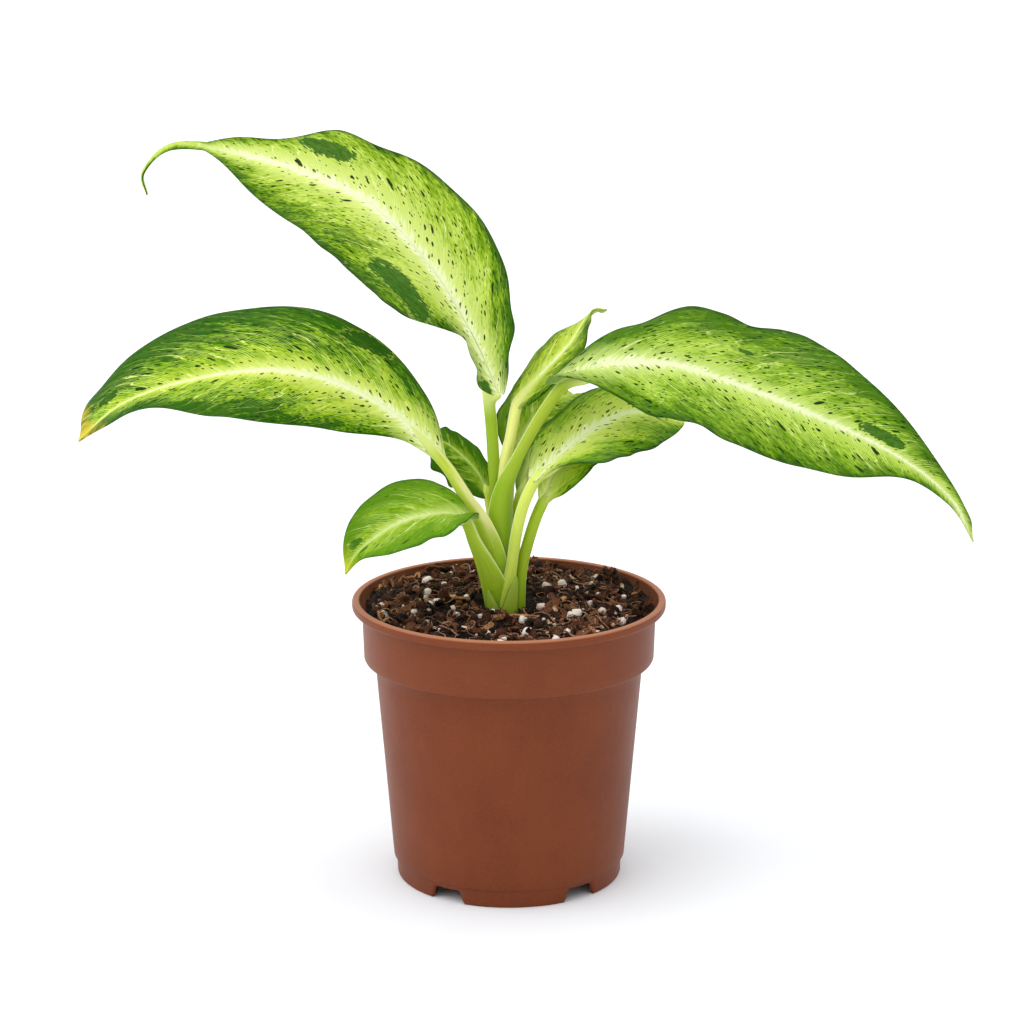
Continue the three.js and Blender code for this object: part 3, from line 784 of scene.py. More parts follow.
@dataclass(frozen=True)
class LeafBack:
    """Lower skin of a blade: paler, greyer and duller, with a raised pale midrib."""

    name: str
    pale: str = "98b94f"
    leaf: str = "719834"
    deep: str = "4c7423"
    rib: str = "cfdd80"
    vein_gap: float = 5.5
    thread_gap: float = 0.75

    def make(self) -> Material:
        """Lay out the material."""
        paint = Paint(self.name + "_back")
        vein = paint.mark("vein_place")
        _, out, distance = paint.parts(paint.mark("leaf_place"))
        streak = paint.noise(paint.stretch(vein, (1, 0.12, 1)), 1.1, 3, 0.6)
        mottle = paint.noise(paint.stretch(vein, (1, 0.45, 1)), 0.16, 4, 0.62, 0.6)
        thread = paint.noise(paint.stretch(vein, (1, 0.05, 1)), 3.2, 2, 0.5)
        edge = paint.plus(out, paint.centred(mottle, 1.2))
        colour = paint.blend(paint.step(edge, 0.2, 0.8), self.pale, self.leaf)
        colour = paint.blend(paint.step(edge, 0.75, 1.15, 0.0, 0.7), colour, self.deep)
        colour = paint.blend(paint.step(streak, 0.5, 0.7, 0.0, 0.35), colour, self.pale)
        station, _, _ = paint.parts(vein)
        strong = paint.math("PINGPONG", paint.plus(station, paint.centred(mottle, 2.4)), self.vein_gap)
        fine = paint.math("PINGPONG", paint.plus(station, paint.centred(mottle, 4.0)), self.thread_gap)
        fading = paint.step(out, 0.3, 1.0, 1.0, 0.35)
        colour = paint.blend(paint.step(fine, 0.0, 0.35, 0.28, 0.0), colour, self.rib)
        share = paint.times(paint.step(strong, 0.0, 0.55, 0.65, 0.0), fading)
        colour = paint.blend(share, colour, self.rib)
        colour = paint.blend(paint.step(distance, 0.8, 2.6, 0.9, 0.0), colour, self.rib)
        roughness = paint.step(mottle, 0.3, 0.7, 0.55, 0.7)
        paint.set(Base_Color=colour, Roughness=roughness, Specular_IOR_Level=0.3)
        ridges = paint.math("MULTIPLY_ADD", paint.step(strong, 0.0, 0.9, 1.0, 0.0), 0.8, thread)
        paint.relief(ridges, 0.3, 0.7)
        return paint.material


@dataclass(frozen=True)
class StalkSkin:
    """Pale, juicy stalk and sheath skin with fine lengthwise streaks and a pale sheath edge.

    From pale_top the skin is as pale as a midrib. Where pale_side is 1 or -1, that side has a pale strip
    over the stretch pale_reach.
    """

    name: str
    top: str = "c0d732"
    foot: str = "95bc1c"
    shade: str = "789f12"
    edge: str = "dbe36c"
    midrib: str = "dfea8a"
    mottled: float = 0.12
    rimmed: float = 0.7
    rim_from: float = 0.94
    pale_top: float = 0.97
    pale_side: int = 0
    pale_from: float = 0.35
    pale_reach: Pair = (0.4, 0.82)

    def make(self) -> Material:
        """Lay out the material."""
        paint = Paint(self.name + "_skin")
        t, across, _ = paint.parts(paint.mark("stalk_place"))
        run = paint.mark("stalk_run")
        streak = paint.noise(paint.stretch(run, (1, 0.035, 1)), 1.5, 3, 0.6)
        cloud = paint.noise(paint.stretch(run, (0.5, 0.25, 0.5)), 0.22, 3, 0.55, 0.4)
        fleck = paint.noise(paint.stretch(run, (1, 0.4, 1)), 0.9, 4, 0.7)
        drift = paint.plus(t, paint.centred(cloud, 1.1))
        colour = paint.blend(paint.step(drift, 0.05, 0.75), self.foot, self.top)
        colour = paint.blend(paint.step(streak, 0.5, 0.72, 0.0, 0.34), colour, self.shade)
        colour = paint.blend(paint.step(fleck, 0.56, 0.74, 0.0, self.mottled), colour, self.midrib)
        colour = paint.blend(paint.step(cloud, 0.54, 0.72, 0.0, 0.36), colour, self.shade)
        rim = paint.plus(paint.math("ABSOLUTE", across), paint.centred(cloud, 0.1))
        rim = paint.step(rim, self.rim_from, self.rim_from + 0.045, 0.0, self.rimmed)
        colour = paint.blend(rim, colour, self.edge)
        if self.pale_side:
            ragged = paint.math("MULTIPLY_ADD", across, float(self.pale_side), paint.centred(streak, 0.4))
            band = paint.step(ragged, self.pale_from, self.pale_from + 0.4, 0.0, 0.75)
            first, last = self.pale_reach
            band = paint.times(band, paint.step(t, first - 0.1, first + 0.08))
            band = paint.times(band, paint.step(t, last - 0.1, last + 0.1, 1.0, 0.0))
            colour = paint.blend(band, colour, self.edge)
        pale = paint.step(t, self.pale_top, self.pale_top + 0.15, 0.0, 0.85)
        colour = paint.blend(pale, colour, self.midrib)
        paint.set(Base_Color=colour, Roughness=paint.step(cloud, 0.3, 0.7, 0.36, 0.48),
                  Specular_IOR_Level=0.16, Subsurface_Weight=0.1,
                  Subsurface_Radius=(0.7, 1.0, 0.2), Subsurface_Scale=0.0015)
        paint.relief(streak, 0.2, 0.5)
        return paint.material


@dataclass(frozen=True)
class StudioWhite:
    """Plain pale floor with a faint unevenness."""

    tone: str = "f6f9fe"
    second: str = "f8fbff"

    def make(self) -> Material:
        """Lay out the material."""
        paint = Paint("studio_white")
        cloud = paint.noise(paint.place(), 0.01, 2, 0.5)
        colour = paint.blend(paint.step(cloud, 0.3, 0.7), self.tone, self.second)
        paint.set(Base_Color=colour, Roughness=0.9, Specular_IOR_Level=0.1)
        return paint.material


# Leaves


@dataclass
class LeafBlade:
    """One leaf blade, from the points of its midrib and its half widths.

    Roll turns the blade about its midrib, fold lifts both halves at the midrib and curl bends them down
    again towards the margin, each given from base to tip. Base and tip say how slender the ends are. Wave
    is how far the margin ripples, and phase where on a ripple it starts. Lobe is how far the base reaches
    back, shoulder how much wider it is, and tail the share of the length that is only a drawn-out tip.
    Paired values are for the left and the right half. All sizes are in millimetres, all angles in degrees.
    """

    name: str
    rib: list[Triple]
    heading: float
    widths: Pair
    base: Pair
    tip: Pair
    roll: list[float]
    fold: list[float]
    curl: list[float]
    wave: float
    lobe: float
    face: LeafFace
    waves: float = 2
    phase: Pair = (0.1, 0.6)
    swells: tuple[Swell, ...] = ()
    tail: float = 0.0
    shoulder: Pair = (0.0, 0.0)
    lobe_shares: Pair = (1.0, 1.0)
    rows: int = 150
    columns: int = 26
    thickness: float = 0.9
    edge_thickness: float = 0.3
    rib_half: float = 2.0
    rib_half_tip: float = 0.5
    rib_depth: float = 2.0
    vein_gap: float = 5.5
    vein_relief: float = 0.16
    vein_slant: float = 0.75
    vein_bow: float = 0.9
    groove: float = 0.22
    bank: float = 0.2
    lobe_reach: float = 0.22
    shoulder_reach: float = 0.07
    tail_width: float = 1.2

    def __post_init__(self) -> None:
        """Lay the midrib's curve."""
        self.route = Route(self.rib)

    def rib_half_at(self, t: Array) -> Array:
        """Give the midrib's half width."""
        return self.rib_half + (self.rib_half_tip - self.rib_half) * np.sqrt(t)

    def half_width(self, t: Array, side: Side) -> Array:
        """Give the distance from midrib to margin.

        Args:
            t: places along the midrib, from 0 to 1.
            side: which half.
        Returns:
            Half widths in millimetres.
        """
        base, tip, widest = self.base[side.index], self.tip[side.index], self.widths[side.index]
        body = np.clip(t / (1 - self.tail), 0, 1)
        fullest = base / (base + tip)
        swell = (body / fullest) ** base * ((1 - body) / (1 - fullest)) ** tip
        strip = 0.0
        if self.tail:
            strip = self.tail_width * np.clip((t - 0.5) / 0.3, 0, 1)
            strip = strip * np.minimum((1 - t) / self.tail, 1) ** 0.6
        close = np.clip((1 - t) / 0.02, 0, 1) ** 0.6
        extra = sum(s.gain * np.exp(-((t - s.t) / s.reach) ** 2) for s in self.swells if s.side is side)
        extra = extra * smooth(t, 0.0, 0.06) * smooth(1 - t, 0.0, 0.04)
        shoulder = self.shoulder[side.index] * np.exp(-(t / self.shoulder_reach) ** 2)
        extra = extra + shoulder * np.sqrt(np.clip(t / 0.02, 0, 1))
        middle = (self.rib_half_at(t) + strip) * (0.15 + 0.85 * close)
        return middle + swell * (widest - self.rib_half) + extra

    def frame_at(self, t: Array) -> tuple[Array, Array, Array, Array]:
        """Give the midrib's point, its direction, the blade's sideways direction and its normal."""
        point, forward = self.route.at(t), self.route.heading(t)
        sideways = compass(self.heading + 90)
        flat = unit(sideways - forward * (forward @ sideways)[..., None])
        above = np.cross(forward, flat)
        roll = np.radians(along(self.roll, t))[..., None]
        return (point, forward, flat * np.cos(roll) + above * np.sin(roll),
                above * np.cos(roll) - flat * np.sin(roll))

    def surface(self, t: Array, out: Array, side: Side) -> Array:
        """Give points of the blade's middle surface.

        Args:
            t: places along the midrib.
            out: shares of the way from midrib to margin.
            side: which half.
        Returns:
            Points in millimetres.
        """
        point, forward, sideways, normal = self.frame_at(t)
        width = self.half_width(t, side)
        fold = np.radians(along(self.fold, t))
        curl = np.radians(np.maximum(along(self.curl, t), 1))
        across = width * (np.sin(fold) - np.sin(fold - curl * out)) / curl
        lift = width * (np.cos(fold - curl * out) - np.cos(fold)) / curl
        ripple = np.sin(2 * np.pi * (self.waves * t + self.phase[side.index]))
        ripple = ripple * np.sin(np.pi * np.clip(t, 0, 1)) ** 0.7
        swept = self.lobe * self.lobe_shares[side.index] * out ** 2
        swept = swept * np.clip(1 - t / self.lobe_reach, 0, None) ** 1.5
        return (point + sideways * (side.value * across)[..., None]
                + normal * (lift + self.wave * out ** 2 * ripple)[..., None]
                - forward * swept[..., None])

    def vein_coordinates(self, t: Array, out: Array, side: Side) -> tuple[Array, Array]:
        """Give where a place's vein leaves the midrib, and how far along the vein the place is."""
        distance = out * self.half_width(t, side)
        forward = self.vein_slant * distance + self.vein_bow * distance * out
        return t * self.route.length - forward, np.hypot(distance, forward)

    def half(self, side: Side) -> tuple[Array, Array, dict[str, Array]]:
        """Work out the upper and lower skin of one half.

        Args:
            side: which half.
        Returns:
            Upper points, lower points and the marks of both.
        """
        even = np.linspace(0, 1, self.rows)
        t = (0.6 * even + 0.2 * (1 - np.cos(np.pi * even)))[:, None] * np.ones(self.columns)
        share = np.linspace(0, 1, self.columns)
        out = np.ones((self.rows, 1)) * (0.8 * share + 0.1 * (1 - np.cos(np.pi * share)))
        middle = self.surface(t, out, side)
        step, nudge = 0.003, 0.02
        lengthwise = (self.surface(np.clip(t + step, 0, 1), out, side)
                      - self.surface(np.clip(t - step, 0, 1), out, side))
        crosswise = (self.surface(t, np.clip(out + nudge, 0, 1), side)
                     - self.surface(t, np.clip(out - nudge, 0, 1), side))
        normal = unit(np.cross(lengthwise, crosswise * side.value))
        normal[:, 0] = self.frame_at(t[:, 0])[3]
        distance = out * self.half_width(t, side)
        station, run = self.vein_coordinates(t, out, side)
        beat = np.cos(2 * np.pi * station / (2 * self.vein_gap))
        calm = smooth(distance, 0.5, 4) * smooth(1 - out, 0.0, 0.35)
        quilt = -self.vein_relief * calm * np.clip(beat, 0, 1) ** 4
        rib = self.rib_half_at(t)
        banks = np.exp(-((distance - 0.9 * rib) / (0.5 * rib)) ** 2)
        channel = self.bank * banks - self.groove * np.exp(-(distance / (0.45 * rib)) ** 2)
        thick = self.thickness + (self.edge_thickness - self.thickness) * out ** 8
        keel = self.rib_depth * (1 - t) ** 0.8 * np.exp(-(distance / (0.62 * rib)) ** 2)
        upper = middle + normal * (thick / 2 + quilt + channel * (1 - t))[..., None]
        lower = middle - normal * (thick / 2 + keel - 0.6 * quilt)[..., None]
        marks = {
            "vein_place": np.stack([
                station + SIDE_SHIFT * side.value, run, np.full_like(run, SIDE_MARK * side.value),
            ], -1),
            "leaf_place": np.stack([t, out, distance], -1),
        }
        return upper, lower, marks

    def build(self, finishes: tuple[Material, Material]) -> Piece:
        """Make the blade as one closed skin.

        Args:
            finishes: upper and lower material.
        Returns:
            The blade's object.
        """
        draft = Draft()
        halves = {side: self.half(side) for side in Side}
        left, right = halves[Side.LEFT], halves[Side.RIGHT]
        across = 2 * self.columns - 1

        def joined(a: Array, b: Array) -> Array:
            """Lay the two halves side by side, sharing the midrib."""
            return np.concatenate([a[:, ::-1], b[:, 1:]], axis=1)

        marks = {key: joined(left[2][key], right[2][key]) for key in left[2]}
        lower = grid_faces(self.rows, across)
        upper = [face[::-1] for face in lower]
        for skin, faces in enumerate((upper, lower)):
            draft.add(joined(left[skin], right[skin]), faces, skin, marks)
        total = self.rows * across
        for i in range(self.rows - 1):
            for j in (0, across - 1):
                a, b = i * across + j, (i + 1) * across + j
                quad = (a, b, b + total, a + total)
                draft.faces.append(quad if j == 0 else quad[::-1])
                draft.finishes.append(0)
        for i in (0, self.rows - 1):
            for j in range(across - 1):
                a = i * across + j
                quad = (a, a + 1, a + 1 + total, a + total)
                draft.faces.append(quad[::-1] if i == 0 else quad)
                draft.finishes.append(0)
        return draft.piece("leaf_" + self.name, list(finishes))


@dataclass
class LeafStalk:
    """One leaf stalk, a sheath round the stem near the soil and the blade's midrib further up.

    The sheath, wide and thick at its foot, ends at the share `until` of the stalk. The cuff is how far a
    ruffled fold under the blade stands out to one side. Under the blade the stalk follows the midrib at
    the places `under_blade`, each given as a share of the blade's length and how deep it lies. The girth
    is the radius that the skin's streaks are laid out on.
    """

    name: str
    route_points: list[Triple]
    facing: float
    wide: float
    thick: float
    until: float
    skin: StalkSkin
    top_radius: float = 2.2
    end_radius: float = 0.7
    rows: int = 150
    around: int = 40
    cuff: float = 0.0
    cuff_place: float = 0.982
    cuff_reach: float = 0.024
    girth: float = 3.0
    under_blade: tuple[Pair, ...] = ((0.05, 0.9), (0.12, 1.8), (0.2, 1.9), (0.32, 1.5), (0.46, 1.1))

    def build(self, finish: Material, blade: LeafBlade) -> Piece:
        """Make the stalk as one closed tube that runs on under the blade.

        Args:
            finish: its material.
            blade: the blade that it carries.
        Returns:
            The stalk's object.
        """
        own = Route(self.route_points).length
        midrib = []
        for t, sink in self.under_blade:
            point, _, _, normal = blade.frame_at(np.array([t]))
            midrib.append(tuple(point[0] - normal[0] * sink))
        route = Route(self.route_points + midrib)
        joint = own / route.length
        t = np.linspace(0, 1, self.rows)[:, None] * np.ones(self.around)
        angle = np.linspace(0, 2 * np.pi, self.around, endpoint=False)[None, :] * np.ones((self.rows, 1))
        point, forward = route.at(t), route.heading(t)
        outward = compass(self.facing)
        out = unit(outward - forward * (forward @ outward)[..., None])
        side = np.cross(out, forward)
        spread = 1 - smooth(t / joint, self.until * 0.35, self.until)
        radius = self.top_radius + (self.end_radius - self.top_radius) * smooth(t, joint, 1)
        radius = radius * (1 - 0.75 * smooth(t, 0.88, 1))
        half = radius + (self.wide - self.top_radius) * spread
        thick = radius + (self.thick - self.top_radius) * spread
        wrap = 0.55 * spread * min(max((self.wide - 2) / 2, 0), 1)
        across = np.cos(angle)
        thin = 1 - 0.55 * spread * np.abs(across) ** 4
        points = (point + side * (half * across)[..., None]
                  + out * (thick * np.sin(angle) * thin - wrap * half * across ** 2)[..., None])
        if self.cuff:
            bulge = np.exp(-((t / joint - self.cuff_place) / self.cuff_reach) ** 2)
            bulge = bulge * (1 + 0.05 * np.cos(t * route.length * 7))
            bulge = self.cuff * bulge * np.clip(0.5 * np.sin(angle) - 0.87 * across, 0, 1) ** 1.5
            points = points - side * (0.8 * bulge)[..., None] + out * (0.5 * bulge)[..., None]
        marks = {
            "stalk_place": np.stack([t / joint, across, np.zeros_like(t)], -1),
            "stalk_run": np.stack([self.girth * across, t * route.length, self.girth * np.sin(angle)], -1),
        }
        draft = Draft()
        draft.add(points, tube_faces(self.rows, self.around), 0, marks)
        return draft.piece("leaf_stalk_" + self.name, [finish])


@dataclass
class Leaf:
    """A blade with its stalk."""

    blade: LeafBlade
    stalk: LeafStalk

    def build(self) -> None:
        """Make and seat both pieces."""
        finishes = (self.blade.face.make(self.blade), LeafBack(self.blade.name).make())
        seat(self.blade.build(finishes), ("blade_" + self.blade.name,))
        stalk = self.stalk.build(self.stalk.skin.make(), self.blade)
        seat(stalk, ("stalk_" + self.stalk.name,))


def swells(side: Side, *rows: Triple) -> tuple[Swell, ...]:
    """List the swells of one half's margin, each given as its place, reach and gain."""
    return tuple(Swell(side, *row) for row in rows)


def centre_leaf() -> Leaf:
    """Describe the young half-open leaf in the middle."""
    blade = LeafBlade(
        "centre", rib=[(3, 5, 184), (12, 10, 194), (23, 13, 205.5), (31, 14, 217.5), (37, 12, 219.4)],
        heading=20, widths=(13.5, 13), base=(0.75, 0.75), tip=(0.95, 0.95), roll=[20, 5, -25],
        fold=[20, 12, 5], curl=[25, 25, 30], wave=0.4, lobe=1,
        face=LeafFace(
            "centre", cream_width=0.75, margin_from=0.64, margin_strength=0.9, speckled=0.5, lean=0.12,
            base_cream=1.2, yellow_tip=0.22, yellow="b4c63a", lime="a3ba1c", leaf="7a9a10",
        ),
        swells=(
            *swells(Side.LEFT, (0.2, 0.1, -1.4), (0.41, 0.09, 3.0), (0.64, 0.16, 5.2)),
            *swells(Side.RIGHT, (0.7, 0.08, 2.0), (0.89, 0.08, 5.2)),
        ),
        rows=90,
    )
    stalk = LeafStalk(
        "centre",
        route_points=[(-1.5, -0.5, 119), (-3, 0, 140), (-1.5, 2, 162), (0.6, 3.4, 172), (2.7, 4.8, 183.2)],
        facing=110, wide=2.6, thick=1.8, until=0.9,
        skin=StalkSkin("centre", top="f2f48e", foot="eaee68", shade="cfdc58", edge="f8f8c0", mottled=0.4),
        under_blade=((0.05, -0.7), (0.12, -0.6), (0.2, -0.3), (0.3, 0.5), (0.42, 1.0)),
    )
    return Leaf(blade, stalk)


def right_leaf() -> Leaf:
    """Describe the large leaf on the right, whose tip droops."""
    blade = LeafBlade(
        "right",
        rib=[
            (22, -4, 196), (39, -8, 203), (62, -13, 203), (90, -20, 195), (118, -28, 185),
            (144, -35, 173), (162, -39, 159), (171, -41, 143),
        ],
        heading=-8, widths=(31, 31), base=(1.3, 1.6), tip=(2.1, 2.4),
        roll=[5, 56, 37, 38, 49, 52, 51, 50], fold=[60, 6, 14, 15, 15, 15, 15, 15],
        curl=[35, 29, 21, 20, 20, 20, 20, 20], wave=1.8, waves=2.8, phase=(0.38, 0.2), lobe=8,
        face=LeafFace(
            "right", cream_width=1.4, margin_from=0.64, margin_strength=0.78, lean=-0.1, yellow_tip=0.05,
            yellow="a8b83c", core="eef3cc", cream="c8da80", pale="aac84c", lime="84aa22", leaf="648e14",
            base_cream=1.4,
            blotches=(Blotch(Side.LEFT, 0.705, 4.2, 18, 4.4), Blotch(Side.LEFT, 0.37, 14.5, 7, 1.8)),
        ),
        swells=(
            *swells(
                Side.LEFT, (0.165, 0.03, -2.1), (0.24, 0.04, 2.6), (0.355, 0.04, -3.0), (0.46, 0.05, 3.2),
                (0.54, 0.06, 1.4), (0.78, 0.22, 1.9), (0.96, 0.03, 0.9),
            ),
            *swells(
                Side.RIGHT, (0.345, 0.045, -3.0), (0.52, 0.09, -2.2), (0.69, 0.07, 2.6),
                (0.8, 0.06, -1.4),
            ),
        ),
        shoulder=(1.0, 6.0),
    )
    stalk = LeafStalk(
        "right",
        route_points=[
            (-1.6, -2.5, 116), (-2.4, -3, 131), (-2.8, -3.6, 144), (-1.6, -4, 154), (2, -4, 163),
            (7, -4, 173), (14, -4, 185), (21, -4.1, 194),
        ],
        facing=-80, wide=5.2, thick=1.6, until=0.66,
        skin=StalkSkin("right", top="a6bc36", foot="8eb818", edge="e6edb0"),
        under_blade=((0.04, 2.6), (0.1, 3.2), (0.18, 3.0), (0.3, 2.4), (0.46, 1.6)),
    )
    return Leaf(blade, stalk)


def upper_left_leaf() -> Leaf:
    """Describe the large leaf at the top left, the highest, with a thread-like tip."""
    blade = LeafBlade(
        "upper_left",
        rib=[
            (-4, 2.4, 189.6), (-14, 11, 210), (-30, 22, 234), (-52, 34, 255), (-78, 46, 266),
            (-111, 59, 273), (-132, 67, 273.6), (-143, 70, 263), (-142, 70, 254),
        ],
        heading=160, widths=(31, 28), base=(1.05, 0.8), tip=(1.15, 1.1),
        roll=[-65, -50, -42, -42, -43, -45, -46, -50, -52], fold=[45, 44, 34, 27, 20, 19, 18, 20, 22],
        curl=[5, 12, 20, 22, 25, 25, 25, 25, 25], wave=2, waves=3.8, phase=(0.42, 0.35), lobe=6,
        face=LeafFace(
            "upper_left", cream_width=2.1, margin_from=0.82, margin_strength=0.9, cream_until=0.84,
            lean=-0.1,
            blotches=(
                Blotch(Side.LEFT, 0.25, 21.5, 36, 11), Blotch(Side.RIGHT, 0.57, 12.5, 24, 6.5),
                Blotch(Side.LEFT, 0.014, 6.0, 7, 6.0),
            ),
            core="f4f8d8", cream="dbe88e", pale="bcd25c", lime="9aba2a", dark_base=0.42, base_cream=0.8,
        ),
        swells=(
            *swells(
                Side.LEFT, (0.055, 0.025, -4.6), (0.088, 0.025, -5.0), (0.12, 0.025, -10.0),
                (0.15, 0.025, -3.0), (0.19, 0.03, 3.4), (0.235, 0.025, 1.4), (0.26, 0.085, 6.6),
                (0.32, 0.04, -1.0), (0.43, 0.045, 1.6), (0.59, 0.05, -0.5), (0.68, 0.08, 0.9),
                (0.74, 0.05, -0.6),
            ),
            *swells(
                Side.RIGHT, (0.06, 0.03, -1.6), (0.09, 0.02, 1.4), (0.17, 0.04, 0.6), (0.23, 0.05, -0.9),
                (0.485, 0.045, -2.0), (0.58, 0.045, 3.0), (0.68, 0.05, -1.6),
            ),
        ),
        tail=0.2, shoulder=(4.0, 0.4), lobe_shares=(0.1, 0.3), rows=190,
    )
    stalk = LeafStalk(
        "upper_left",
        route_points=[
            (-3.4, 0.8, 114), (-3.8, 1.4, 135), (-5.4, 2.2, 156), (-6.5, 3.4, 175), (-7.9, 4.6, 189),
        ],
        facing=-100, wide=2.9, thick=1.8, until=0.45,
        skin=StalkSkin("upper_left", top="98b628", foot="8cae1c", edge="e2ecae", pale_top=0.86),
        top_radius=2.3, cuff=4.6, rows=340,
        under_blade=((0.06, 2.4), (0.12, 2.4), (0.2, 2.0), (0.32, 1.5), (0.46, 1.1)),
    )
    return Leaf(blade, stalk)


def back_leaf() -> Leaf:
    """Describe the small leaf behind the stalks, turned to the right."""
    blade = LeafBlade(
        "back", rib=[(1, 11, 164), (7, 18, 173), (18, 28, 181), (32, 38, 182)], heading=45,
        widths=(13, 14), base=(0.8, 0.8), tip=(1.3, 1.3), roll=[50, 45, 30], fold=[30, 15, 15],
        curl=[15, 25, 25], wave=0.6, lobe=2,
        face=LeafFace(
            "back", cream_width=0.3, margin_from=0.42, speckled=0.3, lime="a8c832", leaf="84ae20",
            deep="568016",
        ),
        swells=swells(
            Side.LEFT, (0.16, 0.12, 2.6), (0.48, 0.14, 2.2), (0.51, 0.05, 1.6), (0.86, 0.08, -6.5),
        ),
        rows=80,
    )
    stalk = LeafStalk(
        "back", route_points=[(-0.8, 3, 99), (-0.8, 4.6, 124), (-0.4, 7, 145), (0.8, 10.6, 163)],
        facing=80, wide=3.2, thick=1.5, until=0.5, skin=StalkSkin("back"),
    )
    return Leaf(blade, stalk)


def back_left_leaf() -> Leaf:
    """Describe the small dark leaf behind the stalks, turned to the left."""
    blade = LeafBlade(
        "back_left", rib=[(-8, 6, 150), (-13, 10, 158), (-22, 17, 165), (-31, 23, 168)], heading=143,
        widths=(11, 8.5), base=(0.7, 0.7), tip=(1.1, 1.1), roll=[-55, -50, -40], fold=[25, 15, 15],
        curl=[15, 20, 20], wave=0.6, lobe=2,
        face=LeafFace(
            "back_left", cream_width=0.25, margin_from=0.35, speckled=0.1, shade=0.35, thread="8cac3c",
            cream="a6c258", core="c2d884",
        ),
        swells=(
            *swells(
                Side.RIGHT, (0.3, 0.14, -2.0), (0.52, 0.08, -0.6), (0.73, 0.06, 0.9), (0.88, 0.09, 3.4),
            ),
            *swells(Side.LEFT, (0.3, 0.12, 2.2), (0.7, 0.16, 4.8), (0.88, 0.06, 2.0)),
        ),
        rows=80,
    )
    stalk = LeafStalk(
        "back_left", route_points=[(-4.2, 1.6, 99), (-4.4, 4, 122), (-5.6, 5, 136), (-7.6, 5.8, 149)],
        facing=140, wide=3.2, thick=1.5, until=0.5, skin=StalkSkin("back_left"),
    )
    return Leaf(blade, stalk)


def back_right_leaf() -> Leaf:
    """Describe the small pale leaf low behind the stalks."""
    blade = LeafBlade(
        "back_right", rib=[(4.8, 4.4, 149.5), (6.8, 5.8, 156), (8.4, 7.2, 162), (9.8, 8.6, 168)],
        heading=-90, widths=(6.6, 5.4), base=(0.9, 0.9), tip=(1.1, 1.1), roll=[0, 0, 0],
        fold=[20, 20, 15], curl=[20, 20, 20], wave=0.3, lobe=0,
        face=LeafFace(
            "back_right", cream_width=0.3, margin_from=0.9, speckled=0.2, pale="bcd48e", lime="b4ce84",
            leaf="a6c474", deep="8fb05c", cream="c8dca0", core="d0e2ac", thread="b8d08a",
        ),
        rows=60,
    )
    stalk = LeafStalk(
        "back_right", route_points=[(2.2, 1, 99), (2, 1.8, 122), (2.6, 2.8, 138), (4.4, 4.2, 148.6)],
        facing=20, wide=2.6, thick=1.3, until=0.5, skin=StalkSkin("back_right"),
    )
    return Leaf(blade, stalk)


def left_leaf() -> Leaf:
    """Describe the large leaf that reaches to the left, seen partly from its edge."""
    blade = LeafBlade(
        "left",
        rib=[
            (-27, -5, 167), (-40, -9, 182), (-61, -15, 196), (-86, -21, 203), (-116, -29, 201),
            (-140, -36, 194), (-157, -41, 181),
        ],
        heading=185, widths=(25, 32), base=(1.5, 1), tip=(1, 0.9), roll=[-90, -60, -25, -10],
        fold=[5, 5, 18, 20], curl=[35, 32, 25, 25], wave=1.6, waves=2.1, phase=(0.37, 0.75), lobe=3,
        face=LeafFace(
            "left", cream_width=1.25, margin_from=0.5, margin_strength=1.0, yellow_tip=0.08, tipward=0.4,
            lean=0.06, leaf="6c9a10", deep="285c02",
            blotches=(Blotch(Side.RIGHT, 0.28, 20, 17, 7), Blotch(Side.RIGHT, 0.885, 7.5, 8, 4)),
            patch="25510c", rim="2a560a",
        ),
        swells=(
            *swells(Side.LEFT, (0.22, 0.13, 3.2), (0.61, 0.1, 3.0), (0.8, 0.07, -4.0), (0.92, 0.045, 4.4)),
            *swells(
                Side.RIGHT, (0.15, 0.08, -0.6), (0.6, 0.08, 2.2), (0.85, 0.09, 3.2), (0.94, 0.05, 7.5),
            ),
        ),
    )
    stalk = LeafStalk(
        "left",
        route_points=[
            (-4.4, -4.6, 106), (-6.2, -5.6, 124), (-10.8, -6.4, 140), (-16, -6.2, 150),
            (-21.6, -5.6, 160), (-26.4, -5.1, 166.4),
        ],
        facing=230, wide=5.2, thick=1.6, until=0.95,
        skin=StalkSkin(
            "left", top="c4d648", foot="8cb616", pale_side=-1, pale_from=0.4, pale_reach=(0.5, 0.85),
            edge="ece9a4",
        ),
    )
    return Leaf(blade, stalk)


def low_right_leaf() -> Leaf:
    """Describe the small leaf that stands out low on the right."""
    blade = LeafBlade(
        "low_right", rib=[(13, -2, 148), (16, 0, 156), (22, 6, 166), (30, 12, 172), (38, 18, 172)],
        heading=40, widths=(6.5, 14), base=(0.9, 0.9), tip=(1.2, 1.2), roll=[35, 30, 20],
        fold=[35, 15, 15], curl=[15, 20, 20], wave=0.5, lobe=0,
        face=LeafFace(
            "low_right", cream_width=1.1, margin_from=0.6, speckled=0.3, tipward=0.3, core="e4efa0",
            cream="d0e268", lime="b2cc30", leaf="88b01a", deep="4c7a0c",
        ),
        swells=swells(Side.RIGHT, (0.05, 0.04, -1.0), (0.58, 0.06, 1.6)), rows=80,
    )
    stalk = LeafStalk(
        "low_right",
        route_points=[
            (2.8, -2.8, 98), (4.8, -2.4, 121), (7.2, -2.2, 132), (10.3, -2.1, 142), (12.6, -2, 147.4),
        ],
        facing=-95, wide=2.7, thick=1.9, until=0.4,
        skin=StalkSkin("low_right", top="b0cc30", edge="e8f0b8"),
    )
    return Leaf(blade, stalk)


